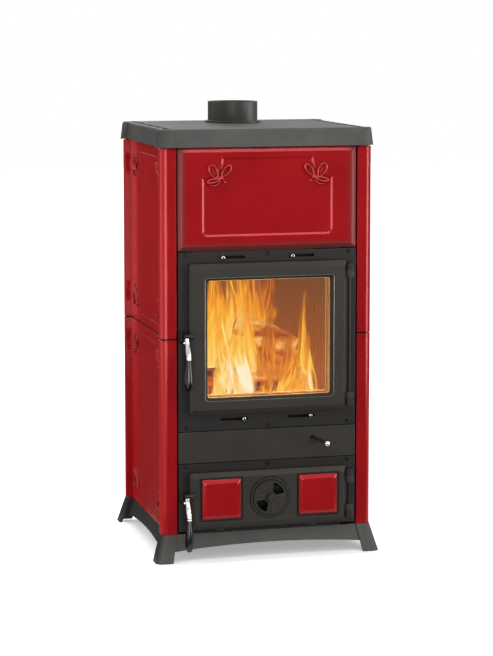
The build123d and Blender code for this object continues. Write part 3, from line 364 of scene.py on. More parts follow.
# Painted light: the column faces that look sideways are lightened.
painted_column_light = share(tree, maths(tree, "ABSOLUTE", place["X"]), field_edge, column_face)
painted_column_light = maths(tree, "MULTIPLY", maths(tree, "MULTIPLY_ADD", painted_column_light, 0.42, 0.14), facing(tree, "X"))
body_red = mix(tree, painted_column_light, body_red, paint("DC3632"))
# Painted dark reflection: the sharp edges are browned.
body_red = mix(tree, maths(tree, "MULTIPLY", edge, 0.35), body_red, paint("5E1512"))
off_seam = maths(tree, "ABSOLUTE", maths(tree, "SUBTRACT", seam, place["Z"]))
seam_line = share(tree, off_seam, 0.0030, 0.0012)
tree.links.new(mix(tree, seam_line, body_red, paint("150404")), shader.inputs["Base Color"])
tree.links.new(ramp(tree, grain["Grain"], (0.3, grey(0.13)), (0.7, grey(0.19))), shader.inputs["Roughness"])
shader.inputs["Specular IOR Level"].default_value = 0.42
shader.inputs["Specular Tint"].default_value = paint("FF9A9A")
bumped(tree, shader, grain["Grain"], 0.05, 0.0006, rounded)
dress(red_enamel, "left_lower_side", "right_lower_side", "left_upper_side", "right_upper_side")


# Upper front panel: one iron casting, enamelled as the sides are and set between their columns. Its rim
# slopes back, and a painted dark reflection browns it towards its edge.
def variant(material, name):
    """Copy of a material under its own name, with its tree and its shader."""
    copied = material.copy()
    copied.name = name
    return copied, copied.node_tree, copied.node_tree.nodes["Principled BSDF"]


def overlaid(tree, shader, socket, factor, value):
    """Mixes a colour or a grey over what already feeds a socket of the shader."""
    beneath = shader.inputs[socket].links[0].from_socket
    tree.links.new(mix(tree, factor, beneath, value), shader.inputs[socket])


panel_low, panel_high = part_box("upper_front_panel")
rim_inside = 0.024
rim_outside = 0.004
rimmed_enamel, tree, shader = variant(red_enamel, "rimmed_enamel")
place = place_of(tree)
from_side = maths(tree, "SUBTRACT", panel_high[0], maths(tree, "ABSOLUTE", place["X"]))
from_foot = maths(tree, "SUBTRACT", place["Z"], panel_low[2])
# Painted dark reflection: the enamel browns and roughens towards the rim's outer edge.
rim = share(tree, maths(tree, "MINIMUM", from_side, from_foot), rim_inside, rim_outside)
overlaid(tree, shader, "Base Color", maths(tree, "MULTIPLY", rim, 0.9), paint("3A2726"))
overlaid(tree, shader, "Roughness", rim, grey(0.46))
dress(rimmed_enamel, "upper_front_panel")


# Flourishes: ribbon and leaf sprays in low relief in the corners of the front panel and the side
# castings, part of each casting and enamelled with it, so they share its red.
def quads(rows, columns, wrap_rows, wrap_columns):
    """Corner numbers of the four-sided faces of a grid of points."""
    r = np.arange(rows if wrap_rows else rows - 1)
    c = np.arange(columns if wrap_columns else columns - 1)
    r, c = np.meshgrid(r, c, indexing="ij")
    r1, c1 = (r + 1) % rows, (c + 1) % columns
    corners = (r * columns + c, r * columns + c1, r1 * columns + c1, r1 * columns + c)
    return np.stack(corners, -1).reshape(-1, 4)


def shaped(name, body, material, grids):
    """One piece from several grids of points whose columns go round: each grid is either closed into a
    ring by its rows too, or closed by a point at each end."""
    points, faces, count = [], [], 0
    for grid, ring in grids:
        if not ring:
            first = np.broadcast_to(grid[0].mean(axis=0), grid[:1].shape)
            last = np.broadcast_to(grid[-1].mean(axis=0), grid[:1].shape)
            grid = np.concatenate((first, grid, last))
        rows, columns = grid.shape[:2]
        points.append(grid.reshape(-1, 3))
        faces.append(quads(rows, columns, ring, True) + count)
        count += rows * columns
    data = bpy.data.meshes.new(name)
    data.from_pydata(np.concatenate(points).tolist(), [], np.concatenate(faces).tolist())
    shell = bmesh.new()
    shell.from_mesh(data)
    bmesh.ops.remove_doubles(shell, verts=shell.verts, dist=2e-6)
    bmesh.ops.recalc_face_normals(shell, faces=shell.faces)
    shell.to_mesh(data)
    shell.free()
    data.polygons.foreach_set("use_smooth", np.full(len(data.polygons), True))
    data.materials.append(material)
    piece = bpy.data.objects.new(name, data)
    bpy.context.scene.collection.objects.link(piece)
    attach(piece, body)
    return piece


def strand(line, half_width, height, ring):
    """Moulding of oval section, half of it above the casting, along a line drawn on that: the line's
    points are moved along its own square direction by the cosine of an angle and off by its sine."""
    step = np.roll(line, -1, 0) - np.roll(line, 1, 0) if ring else np.gradient(line, axis=0)
    step = step / np.linalg.norm(step, axis=1)[:, None]
    square = np.stack((-step[:, 1], step[:, 0]), -1)
    turn = np.linspace(0.0, 2.0 * math.pi, 12, endpoint=False)
    across = line[:, None] + square[:, None] * (half_width[:, None] * np.cos(turn))[:, :, None]
    lift = height[:, None] * np.sin(turn)
    return np.concatenate((across, lift[:, :, None]), -1), ring


def leaf(base, angle, length, width):
    """Leaf outline that leaves its base and comes back: along is the length times half of one less the
    cosine, across is half the width times the sine times the root of the half angle's sine."""
    t = np.linspace(0.0, 2.0 * math.pi, 48, endpoint=False)
    along = length * (1.0 - np.cos(t)) / 2.0
    across = width / 2.0 * np.sin(t) * np.sqrt(np.sin(t / 2.0))
    c, s = math.cos(math.radians(angle)), math.sin(math.radians(angle))
    line = np.stack((base[0] + along * c - across * s, base[1] + along * s + across * c), -1)
    swell = 0.55 + 0.45 * np.sin(t / 2.0)
    return strand(line, 3.9 * swell, 4.4 * swell, True)


def stem(points, half_width, height):
    """Tapering stem: a smooth curve of the second degree through three points, thickest at its middle."""
    t = np.linspace(0.0, 1.0, 20)[:, None]
    start, middle, end = (np.array(point) for point in points)
    line = start * (1 - t) * (1 - 2 * t) + middle * 4 * t * (1 - t) + end * t * (2 * t - 1)
    swell = np.sin(math.pi * (0.08 + 0.84 * t[:, 0])) ** 0.7
    return strand(line, half_width * swell, height * swell, False)


def spray():
    """One flourish in millimetres about its knot: three leaves, their veins, a tail and buds."""
    return [
        leaf((-10.0, 1.0), 117.0, 36.0, 22.0),
        leaf((3.0, 5.0), 52.0, 34.0, 17.0),
        leaf((-3.0, -2.0), 191.0, 31.0, 10.0),
        stem(((-13.0, 7.0), (-17.5, 16.0), (-20.0, 25.0)), 1.5, 1.6),
        stem(((6.0, 10.0), (12.0, 17.0), (16.0, 24.0)), 1.4, 1.5),
        stem(((0.0, 22.0), (3.0, 31.0), (-1.0, 40.0)), 2.6, 2.4),
        stem(((-2.0, -5.0), (-14.0, -17.0), (-31.0, -12.0)), 2.2, 2.0),
        stem(((-7.0, 0.0), (0.0, 1.5), (7.0, -1.0)), 5.5, 3.0),
        stem(((8.0, -6.0), (11.5, -8.5), (15.5, -9.0)), 4.2, 2.8),
    ]


def flourished(name, face, knots, material):
    """Sprays on a casting: each knot is its place across and up and the ways its spray faces, and the
    face turns across, up and lift, in metres, into a place."""
    grids = []
    for across, up, way_across, way_up in knots:
        for grid, ring in spray():
            x = across + way_across * grid[..., 0] * 0.001
            z = up + way_up * grid[..., 1] * 0.001
            grids.append((face(x, z, grid[..., 2] * 0.001), ring))
    shaped(name, "stove_body", material, grids)


def relief_enamel(name, axis):
    """Enamel on a relief, with painted shade down the flanks, which look away from an axis, and a painted
    highlight over the crests."""
    material, tree, shader = variant(red_enamel, name)
    shade = ramp(tree, facing(tree, axis),
                 (0.34, paint("3C0709")), (0.70, paint("A0161B")), (0.94, paint("C83438")))
    tree.links.new(shade, shader.inputs["Base Color"])
    return material


panel_face = panel_low[1] + 0.0004
front_knots = [(-0.120, 0.950, 1, 1), (0.120, 0.950, -1, 1)]
flourished("front_flourishes", lambda x, z, lift: np.stack((x, panel_face - lift, z), -1),
           front_knots, relief_enamel("front_relief", "Y"))
side_relief = relief_enamel("side_relief", "X")
field_face = 0.254
knot_reach = 0.141
for side, way in (("left", -1), ("right", 1)):
    for half, low_knot, high_knot in (("upper", 0.631, 0.9505), ("lower", 0.1435, 0.480)):
        casting_low, casting_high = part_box(f"{side}_{half}_side")
        middle_y = (casting_low[1] + casting_high[1]) / 2.0
        side_knots = [(y, z, 1 if y < 0 else -1, 1 if z == high_knot else -1)
                      for y in (-knot_reach, knot_reach) for z in (low_knot, high_knot)]
        flourished(f"{side}_{half}_flourishes",
                   lambda y, z, lift: np.stack((way * (field_face + lift), y + middle_y, z), -1),
                   side_knots, side_relief)


# Front plates and fire door: flat iron castings screwed to the carcass, and the thick bevelled door in
# front of them, all cast in sand and painted matt black. The two plates behind the doors are blacker.
front_iron = iron_paint("front_iron", "25211A", "2E2A22", "6E6A60", (0.48, 0.62), 0.20, 0.30)
dress(front_iron, "middle_plate", "fire_door")
plate_iron = iron_paint("plate_iron", "16120F", "1B1714", "46423C", (0.48, 0.62), 0.18, 0.30)
dress(plate_iron, "fire_plate", "ash_plate")

# Lid: the flared iron top with its side grilles, and the cooking plate let into it. Both have a greyer satin
# paint than the doors, with painted shade on the faces to the sides.
lid_iron = iron_paint("lid_iron", "444240", "54524F", "86837E", (0.50, 0.62), 0.20, 0.22, 0.60)
dress(lid_iron, "top_plate", "cooking_plate")

# Flue collar: a turned iron ring screwed to the lid, that the flue pipe slips over. Its paint is a
# little glossier than the lid's.
flue_iron = iron_paint("flue_iron", "26241E", "302E28", "6A6862", (0.34, 0.46), 0.32, 0.16)
dress(flue_iron, "flue_collar")

# Fire chamber: sand coloured refractory linings and baffle, sooted towards the top and given a faint painted
# firelight, strongest low down where the fire stands against them, over a cast iron hearth and grate.
foot_of_linings = 0.40
top_of_linings = 0.74
refractory, tree, shader = blank("refractory")
grain = grained(tree, 14.0, 420.0, 0.6)
up = share(tree, place_of(tree)["Z"], foot_of_linings, top_of_linings)
baked = ramp(tree, grain["Cloud"], (0.3, paint("663A0A")), (0.7, paint("7E4C0E")))
sooted = mix(tree, maths(tree, "MULTIPLY", up, 0.35), baked, paint("5A3A18"))
tree.links.new(sooted, shader.inputs["Base Color"])
shader.inputs["Roughness"].default_value = 0.9
shader.inputs["Specular IOR Level"].default_value = 0.05
# Painted firelight: the linings emit a warm glow, brightest low down near the fire.
painted_firelight = ramp(tree, up, (0.0, paint("C8640E")), (0.45, paint("A0560E")), (1.0, paint("6E3E0C")))
tree.links.new(painted_firelight, shader.inputs["Emission Color"])
shader.inputs["Emission Strength"].default_value = 0.55
bumped(tree, shader, grain["Height"], 0.5, 0.002)
dress(refractory, "left_lining", "right_lining", "rear_lining", "smoke_baffle")

chamber_iron, tree, shader = blank("chamber_iron")
grain = grained(tree, 18.0, 500.0, 0.8)
scaled = ramp(tree, grain["Cloud"], (0.3, paint("2E2823")), (0.7, paint("4A4038")))
tree.links.new(scaled, shader.inputs["Base Color"])
shader.inputs["Roughness"].default_value = 0.75
bumped(tree, shader, grain["Height"], 0.4, 0.0015)
dress(chamber_iron, "hearth_plate", "grate")

# Ash door: a bevelled iron casting with a disc that turns in it to let air in, and two enamelled tiles set
# into it. Painted shade darkens the groove round the disc and the grooves round the tiles, and the tiles'
# enamel carries painted shade along its sides and lower edge.
disc_low, disc_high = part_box("air_register")
disc_z = (disc_low[2] + disc_high[2]) / 2
disc_groove = (disc_high[0] - disc_low[0]) / 2 + 0.0008
tile_low, tile_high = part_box("right_tile")
tile_x = (tile_low[0] + tile_high[0]) / 2
tile_z = (tile_low[2] + tile_high[2]) / 2
tile_half = (tile_high[0] - tile_low[0]) / 2


def off_tile(tree, place):
    """How far a point lies to either side of the nearer tile's middle, and how far above it."""
    out = maths(tree, "SUBTRACT", maths(tree, "ABSOLUTE", place["X"]), tile_x)
    return maths(tree, "ABSOLUTE", out), maths(tree, "SUBTRACT", place["Z"], tile_z)


register_iron, tree, shader = variant(front_iron, "register_iron")
place = place_of(tree)
# Painted shade: near-black in the groove round the disc and in the grooves round the tiles.
up = maths(tree, "SUBTRACT", place["Z"], disc_z)
squares = maths(tree, "ADD", maths(tree, "POWER", place["X"], 2.0), maths(tree, "POWER", up, 2.0))
off_groove = maths(tree, "SUBTRACT", maths(tree, "SQRT", squares), disc_groove)
groove = share(tree, maths(tree, "ABSOLUTE", off_groove), 0.0034, 0.0016)
beside, above = off_tile(tree, place)
far = maths(tree, "MAXIMUM", beside, maths(tree, "ABSOLUTE", above))
moat_shade = share(tree, far, tile_half + 0.0062, tile_half + 0.0044)
overlaid(tree, shader, "Base Color", maths(tree, "MAXIMUM", groove, moat_shade), paint("080707"))
dress(register_iron, "ash_door", "air_register", "register_knob")

tile_enamel, tree, shader = variant(red_enamel, "tile_enamel")
beside, above = off_tile(tree, place_of(tree))
far = maths(tree, "MAXIMUM", beside, maths(tree, "SUBTRACT", 0.001, above))
# Painted shade: the tile's enamel darkens and roughens towards its sides and lower edge, not its top.
rim_shade = share(tree, far, tile_half - 0.0034, tile_half - 0.0012)
overlaid(tree, shader, "Base Color", maths(tree, "MULTIPLY", rim_shade, 0.95), paint("180505"))
overlaid(tree, shader, "Roughness", rim_shade, grey(0.6))
dress(tile_enamel, "left_tile", "right_tile")


# Steel fittings: chrome on the shaker's ball and the slides' knobs, dull zinc on what holds the glass and on
# the register's spindle, oiled dark steel for the pins, the shaker's rod and the screws in front, scaled
# strips for the air slides, and drawn sheet for the ash pan, darkened with painted shade as it stands behind
# the register.
def bright_steel(name, tint, rough, brush, brush_bump):
    """Metal of one tint whose roughness and height follow fine streaks of a given scale."""
    material, tree, shader = blank(name)
    place = add(tree, "ShaderNodeTexCoord").outputs["Object"]
    streaks = add(tree, "ShaderNodeMapping", {"Vector": place, "Scale": brush}).outputs[0]
    lines = {"Vector": streaks, "Scale": 1.0, "Detail": 3.0}
    line = add(tree, "ShaderNodeTexNoise", lines).outputs["Fac"]
    low, high = rough
    tree.links.new(ramp(tree, line, (0.3, grey(low)), (0.7, grey(high))), shader.inputs["Roughness"])
    darker = tuple([0.82 * c for c in paint(tint)[:3]] + [1.0])
    tree.links.new(ramp(tree, line, (0.3, darker), (0.7, paint(tint))), shader.inputs["Base Color"])
    shader.inputs["Metallic"].default_value = 1.0
    bumped(tree, shader, line, brush_bump, 0.0004, softened(tree, 0.0006)[0])
    return material


chrome = bright_steel("chrome", "D2D0CE", (0.04, 0.10), (60.0, 60.0, 60.0), 0.03)
dress(chrome, "shaker_ball", "upper_slide_knobs", "lower_slide_knobs")
zinc = bright_steel("zinc", "8E8C88", (0.28, 0.42), (240.0, 240.0, 240.0), 0.10)
dress(zinc, "glass_clips", "glass_clip_screws", "register_spindle")
dark_steel = bright_steel("dark_steel", "262523", (0.30, 0.44), (240.0, 240.0, 240.0), 0.10)
dress(dark_steel, "front_screws", "shaker_rod", "shaker_link", "fire_hinge_pin", "ash_hinge_pin")
dress(dark_steel, "fire_handle_pin", "ash_handle_pin")
slide_steel = bright_steel("slide_steel", "161514", (0.34, 0.48), (30.0, 30.0, 500.0), 0.08)
dress(slide_steel, "upper_air_slide", "lower_air_slide", "upper_slide_guides", "lower_slide_guides")
# Painted shade: the ash pan's sheet is tinted dark for the shade it stands in behind the register.
pan_steel = bright_steel("pan_steel", "3A3937", (0.30, 0.46), (25.0, 25.0, 25.0), 0.05)
dress(pan_steel, "ash_pan", "ash_pan_pull")

# Rope seals and glass tape: braided glass fibre, dark grey, pressed into grooves on the back of the
# doors. Its strands cross on the slant.
braid, tree, shader = blank("braid")
place = add(tree, "ShaderNodeTexCoord").outputs["Object"]
slant = {"Vector": place, "Scale": 190.0, "Distortion": 1.5, "Detail": 1.0}
strands = add(tree, "ShaderNodeTexWave", slant, wave_type="BANDS", bands_direction="DIAGONAL").outputs["Fac"]
shaded = ramp(tree, strands, (0.2, paint("232323")), (0.8, paint("4C4B49")))
tree.links.new(shaded, shader.inputs["Base Color"])
shader.inputs["Roughness"].default_value = 0.95
bumped(tree, shader, strands, 0.6, 0.0012)
dress(braid, "fire_door_rope", "ash_door_rope", "glass_tape")


# Handles: on each door a chromed steel bar that swings on a pin in the door's boss, with a dark hub, a
# finger that wedges behind the catch on the plate, and a collar that holds the grip. The grip is turned
# and lacquered black, smooth enough to mirror the studio along its length.
black_grip, tree, shader = blank("black_grip")
grain = grained(tree, 20.0, 900.0, 0.2)
lacquer = ramp(tree, grain["Cloud"], (0.3, paint("100F0F")), (0.7, paint("1A1919")))
tree.links.new(lacquer, shader.inputs["Base Color"])
tree.links.new(ramp(tree, grain["Grain"], (0.3, grey(0.16)), (0.7, grey(0.24))), shader.inputs["Roughness"])
shader.inputs["Specular IOR Level"].default_value = 0.30
bumped(tree, shader, grain["Height"], 0.05, 0.0005)
dress(black_grip, "fire_handle_grip", "ash_handle_grip")


def turned(profile, centre, axis, sides):
    """Turned shape: each radius and height of the profile goes round an axis through a centre."""
    radius, height = np.array(profile).T
    turn = np.linspace(0.0, 2.0 * math.pi, sides, endpoint=False)
    a, b = radius[:, None] * np.cos(turn), radius[:, None] * np.sin(turn)
    h = np.broadcast_to(height[:, None], a.shape)
    return np.array(centre) + np.stack((h, a, b) if axis == "X" else (a, b, h), -1), False


def bar(path, width, thickness):
    """Bar in a plane of constant X along a path of Y and Z: its section is a rounded oblong whose
    coordinates are the sine and cosine to the power of two over a squareness."""
    power = 2 / 3.0
    step = np.gradient(path, axis=0)
    step = step / np.linalg.norm(step, axis=1)[:, None]
    normal = np.stack((step[:, 1], -step[:, 0]), -1)
    turn = np.linspace(0.0, 2.0 * math.pi, 28, endpoint=False)
    x = np.sign(np.cos(turn)) * np.abs(np.cos(turn)) ** power * width[:, None] / 2
    off = np.sign(np.sin(turn)) * np.abs(np.sin(turn)) ** power * thickness[:, None] / 2
    yz = path[:, None] + normal[:, None] * off[:, :, None]
    return np.concatenate((x[:, :, None], yz), -1)


def handle_arm(door, pivot_z):
    """Arm of one door's handle, with its finger and its collar over the grip, and the hub it turns on."""
    grip_low, grip_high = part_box(f"{door}_handle_grip")
    x = (grip_low[0] + grip_high[0]) / 2
    grip_y = (grip_low[1] + grip_high[1]) / 2
    pivot_y = grip_y + 0.028
    t = np.linspace(0.0, 1.0, 30)
    path = np.stack((pivot_y - 0.003 - 0.025 * t ** 1.15, pivot_z - 0.004 - 0.045 * t), -1)
    swell = 1.0 - 0.12 * np.sin(2.0 * math.pi * t) - 0.10 * t
    arm = bar(path, 0.0112 * swell, 0.0094 * swell)
    arm[..., 0] += x
    hub = [(0.0078, -0.0066), (0.0084, -0.0058), (0.0084, 0.0058), (0.0078, 0.0066)]
    hub = turned(hub, (x, pivot_y, pivot_z), "X", 40)
    collar = [(0.0052, 0.010), (0.0060, 0.0085), (0.0066, 0.006), (0.0058, 0.004), (0.0068, 0.002),
              (0.0068, 0.0002), (0.0056, -0.0004)]
    collar = turned(collar, (x, grip_y, grip_high[2]), "Z", 40)
    finger = [(0.0026, -0.0084), (0.0032, -0.0076), (0.0032, -0.003)]
    finger = turned(finger, (x, pivot_y - 0.004, pivot_z - 0.015), "X", 24)
    shaped(f"{door}_handle_hub", f"{door}_handle", dark_steel, [hub])
    lever = [(arm, False), collar, finger]
    lever = shaped(f"{door}_handle_arm", f"{door}_handle", chrome, lever)
    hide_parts(f"{door}_handle_lever")


handle_arm("fire", 0.566)
handle_arm("ash", 0.168)


# Window: a clear heat proof pane, very slightly warm and uneven, clipped behind the opening of the fire
# door. A bright bead runs round the opening's front edge, and behind the pane a polished steel liner,
# pressed like a shallow funnel and screwed to the door, mirrors the fire; its gold tint is a painted
# reflection of the fire's warm light.
pane, tree, shader = blank("pane")
shader.inputs["Transmission Weight"].default_value = 1.0
shader.inputs["IOR"].default_value = 1.38
grain = grained(tree, 9.0, 60.0, 0.1)
warmth = ramp(tree, grain["Cloud"], (0.3, paint("FFF6EA")), (0.7, paint("FFFBF4")))
tree.links.new(warmth, shader.inputs["Base Color"])
tree.links.new(ramp(tree, grain["Cloud"], (0.3, grey(0.0)), (0.8, grey(0.015))), shader.inputs["Roughness"])
dress(pane, "door_glass")


def framed(half_width, low, high, radius, y):
    """Points of an upright rectangle with rounded corners: a quarter of a circle about each corner."""
    quarter = np.linspace(0.0, math.pi / 2, 9)
    line = []
    for number, (x, z) in enumerate(((1, high), (-1, high), (-1, low), (1, low))):
        turn = quarter + number * math.pi / 2
        centre_x = x * (half_width - radius)
        centre_z = high - radius if z == high else low + radius
        corner = (centre_x + radius * np.cos(turn), np.full(9, y), centre_z + radius * np.sin(turn))
        line.append(np.stack(corner, -1))
    return np.concatenate(line)


def bead(line, thick):
    """Round bead: a circle carried along an upright closed line."""
    step = np.roll(line, -1, 0) - np.roll(line, 1, 0)
    step = step / np.linalg.norm(step, axis=1)[:, None]
    square = np.stack((-step[:, 2], np.zeros(len(line)), step[:, 0]), -1)
    turn = np.linspace(0.0, 2.0 * math.pi, 10, endpoint=False)[:, None, None]
    return line + thick * (np.cos(turn) * square + np.sin(turn) * np.array((0.0, 1.0, 0.0))), True


pane_low, pane_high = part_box("door_glass")
pane_overlap = 0.010
half = pane_high[0] - pane_overlap
low = pane_low[2] + pane_overlap
high = pane_high[2] - pane_overlap
bead_y = pane_low[1] - 0.0113
bead_gap = 0.007
bead_steel = bright_steel("bead_steel", "6E6A62", (0.16, 0.26), (40.0, 40.0, 40.0), 0.03)
rim_line = framed(half + bead_gap, low - bead_gap, high + bead_gap, 0.008, bead_y)
shaped("window_bead", "fire_door", bead_steel, [bead(rim_line, 0.0007)])

liner_mouth = pane_high[1] + 0.0008
liner_back = liner_mouth + 0.021
liner_slope = 0.0035
liner_radius = 0.006
# Painted reflection: the liner's gold tint stands for the fire's warm light mirrored in it.
firelit_trim = bright_steel("firelit_trim", "D8B074", (0.14, 0.24), (40.0, 40.0, 40.0), 0.03)
wall = np.stack([framed(half - inset, low + inset, high - inset, liner_radius, y)
                 for inset, y in ((0.0008, liner_mouth), (liner_slope, liner_back),
                                  (liner_slope - 0.0010, liner_back), (-0.0002, liner_mouth))])
back_line = framed(half - liner_slope, low + liner_slope, high - liner_slope, liner_radius, liner_back)
shaped("window_liner", "fire_door", firelit_trim, [(wall, True), bead(back_line, 0.0011)])


# Fire, the wood: split logs laid on the hearth and on each other, charred and glowing along their grain,
# their glow partly their own embers and partly painted firelight from the flames in front, on a bed of
# glowing charcoal. They are fuel, and nothing fixes them.
def split_log(start, end, size, seed, lean):
    """Split log: a rounded three sided section carried along a slightly bent line. Its radius at each
    angle is one over a high power mean of the cosines to its three faces, times sums of sines that
    give the grain, the swellings along it and the torn ends."""
    rng = np.random.default_rng(seed)
    start, end = np.array(start), np.array(end)
    t = np.linspace(0.0, 1.0, 70)
    turn = np.linspace(0.0, 2.0 * math.pi, 90, endpoint=False)
    run = (end - start) / np.linalg.norm(end - start)
    side = np.cross(run, (0.0, 0.0, 1.0))
    side = side / np.linalg.norm(side)
    up = np.cross(side, run)
    faces = np.array((0.0, 1.9, 4.1)) + lean
    reach = np.maximum(np.cos(turn[:, None] - faces), 0.0) ** 7
    section = 0.62 / np.sum(reach, axis=1) ** (1.0 / 7.0)
    grain = sum(rng.uniform(0.004, 0.016) * np.sin(k * turn + rng.uniform(0, 6.28))
                for k in (11, 17, 29, 41))
    wave = sum(rng.uniform(0.008, 0.02) * np.sin(k * math.pi * t + rng.uniform(0, 6.28))
               for k in (2, 5, 9))
    twist = 0.10 * np.sin(2.0 * t + rng.uniform(0, 6.28))
    radius = size * (section + grain)[None, :] * (1.0 + wave)[:, None]
    radius = radius * np.minimum(1.0, 0.90 + 6.0 * np.minimum(t, 1.0 - t))[:, None]
    turn = turn[None, :] + twist[:, None]
    line = start + (end - start) * t[:, None] + up * (0.005 * np.sin(math.pi * t))[:, None]
    sideways = side * (radius * np.cos(turn))[..., None]
    upward = up * (radius * np.sin(turn))[..., None]
    return line[:, None] + sideways + upward, False


burning_wood, tree, shader = blank("burning_wood")
place = add(tree, "ShaderNodeTexCoord").outputs["Object"]
along = add(tree, "ShaderNodeMapping", {"Vector": place, "Scale": (9.0, 30.0, 30.0)}).outputs[0]
patch = add(tree, "ShaderNodeTexNoise", {"Vector": along, "Scale": 1.0, "Detail": 5.0}).outputs["Fac"]
fibre = add(tree, "ShaderNodeMapping", {"Vector": place, "Scale": (40.0, 420.0, 420.0)}).outputs[0]
fibre = add(tree, "ShaderNodeTexNoise", {"Vector": fibre, "Scale": 1.0, "Detail": 3.0}).outputs["Fac"]
charred = ramp(tree, patch, (0.38, paint("140904")), (0.50, paint("4A200A")), (0.62, paint("8A5220")))
tree.links.new(charred, shader.inputs["Base Color"])
# The glow is partly the logs' own embers and partly painted firelight from the flames in front, raised
# higher up.
hotter_above = maths(tree, "MULTIPLY_ADD", share(tree, place_of(tree)["Z"], 0.44, 0.56), 0.17, -0.04)
hot = maths(tree, "ADD", patch, maths(tree, "MULTIPLY_ADD", fibre, 0.24, -0.12))
warm = ramp(tree, maths(tree, "ADD", hot, hotter_above),
            (0.36, paint("3A0E02")), (0.46, paint("A83A04")), (0.56, paint("DE7A14")),
            (0.66, paint("F6B040")), (0.76, paint("FFE29C")))
tree.links.new(warm, shader.inputs["Emission Color"])
shader.inputs["Emission Strength"].default_value = 0.75
shader.inputs["Roughness"].default_value = 0.9
shader.inputs["Specular IOR Level"].default_value = 0.05
bumped(tree, shader, fibre, 0.6, 0.003)
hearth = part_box("hearth_plate")[1][2]
logs = [
    split_log((-0.135, -0.110, hearth + 0.034), (0.135, -0.095, hearth + 0.036), 0.042, 11, 0.5),
    split_log((-0.125, 0.030, hearth + 0.040), (0.135, 0.045, hearth + 0.040), 0.052, 12, 1.3),
    split_log((-0.015, -0.080, hearth + 0.088), (0.118, -0.040, hearth + 0.080), 0.038, 13, 2.2),
    split_log((-0.040, -0.050, hearth + 0.188), (0.108, -0.075, hearth + 0.118), 0.032, 14, 0.2),
]
shaped("logs", "stove_body", burning_wood, logs)


def coal(rng):
    """Lump of glowing charcoal: a ball whose radius swells by three slow sines of its two angles."""
    high = np.linspace(0.25, math.pi - 0.25, 7)[:, None]
    turn = np.linspace(0.0, 2.0 * math.pi, 10, endpoint=False)[None, :]
    a, b, c = rng.uniform(0, 6.28, 3)
    swell = 1.0 + 0.16 * np.sin(2 * turn + a) + 0.14 * np.sin(3 * turn + 2 * high + b)
    swell = swell + 0.12 * np.cos(3 * high + c)
    radius = rng.uniform(0.008, 0.016) * swell
    shape = (np.sin(high) * np.cos(turn), np.sin(high) * np.sin(turn), 0.72 * np.cos(high) + 0 * turn)
    place = (rng.uniform(-0.145, 0.145), rng.uniform(-0.185, 0.095), hearth + rng.uniform(0.004, 0.018))
    return np.array(place) + radius[..., None] * np.stack(shape, -1), False


glowing_coal, tree, shader = blank("glowing_coal")
place = add(tree, "ShaderNodeTexCoord").outputs["Object"]
patch = add(tree, "ShaderNodeTexNoise", {"Vector": place, "Scale": 60.0, "Detail": 4.0}).outputs["Fac"]
ash = ramp(tree, patch, (0.4, paint("1C120D")), (0.7, paint("5A4A40")))
tree.links.new(ash, shader.inputs["Base Color"])
warm = ramp(tree, patch, (0.38, paint("4A1404")), (0.50, paint("D4660C")), (0.62, paint("FFC860")))
tree.links.new(warm, shader.inputs["Emission Color"])
shader.inputs["Emission Strength"].default_value = 0.9
shader.inputs["Roughness"].default_value = 0.95
shader.inputs["Specular IOR Level"].default_value = 0.05
bumped(tree, shader, patch, 0.5, 0.002)
lumps = np.random.default_rng(5)
shaped("embers", "stove_body", glowing_coal, [coal(lumps) for _ in range(150)])

# Fire, the flames: curved sheets of burning gas, widest low down and drawn out to a point, each hot and
# pale at its foot and cooler and redder at its tip and edges.
flame_foot = hearth - 0.030
flame, tree, shader = blank("flame")
way = add(tree, "ShaderNodeAttribute", attribute_name="across_up").outputs["Vector"]
way = add(tree, "ShaderNodeSeparateXYZ", {"Vector": way}).outputs
kept = add(tree, "ShaderNodeAttribute", attribute_name="heat_number").outputs["Vector"]
kept = add(tree, "ShaderNodeSeparateXYZ", {"Vector": kept}).outputs
streaks = {"X": maths(tree, "MULTIPLY", way["X"], 2.2), "Y": maths(tree, "MULTIPLY", way["Y"], 2.6),
           "Z": maths(tree, "MULTIPLY", kept["Y"], 5.3)}
streaks = add(tree, "ShaderNodeCombineXYZ", streaks).outputs[0]
wisps = {"Vector": streaks, "Scale": 1.0, "Detail": 4.0, "Distortion": 1.3}
wisps = add(tree, "ShaderNodeTexNoise", wisps).outputs["Fac"]
edge_in = maths(tree, "SUBTRACT", 1.0, maths(tree, "POWER", maths(tree, "ABSOLUTE", way["X"]), 2.0))
heat = maths(tree, "MULTIPLY_ADD", maths(tree, "SUBTRACT", wisps, 0.5), 0.9, kept["X"])
heat = maths(tree, "MULTIPLY_ADD", edge_in, 0.22, heat)
burning = ramp(tree, heat, (0.06, paint("561F02")), (0.26, paint("A84E04")), (0.46, paint("E08008")),
               (0.64, paint("F9A41A")), (0.82, paint("FDC546")), (0.94, paint("FFE090")),
               (1.0, paint("FFF4D6")))
tree.links.new(burning, shader.inputs["Emission Color"])
shader.inputs["Emission Strength"].default_value = 1.0
shader.inputs["Base Color"].default_value = grey(0.0)
shader.inputs["Specular IOR Level"].default_value = 0.0
shader.inputs["Roughness"].default_value = 1.0
body = maths(tree, "ADD", maths(tree, "MULTIPLY", edge_in, 1.3), maths(tree, "MULTIPLY", wisps, 2.6))
body = maths(tree, "SUBTRACT", body, maths(tree, "MULTIPLY_ADD", way["Y"], 0.85, 1.25))
lifted = maths(tree, "MULTIPLY_ADD", share(tree, way["Y"], 0.0, 0.16), 1.9, -1.9)
solid = {"Value": maths(tree, "ADD", body, lifted), "From Min": 0.0, "From Max": 0.95}
solid = add(tree, "ShaderNodeMapRange", solid, interpolation_type="SMOOTHSTEP").outputs[0]
tree.links.new(solid, shader.inputs["Alpha"])


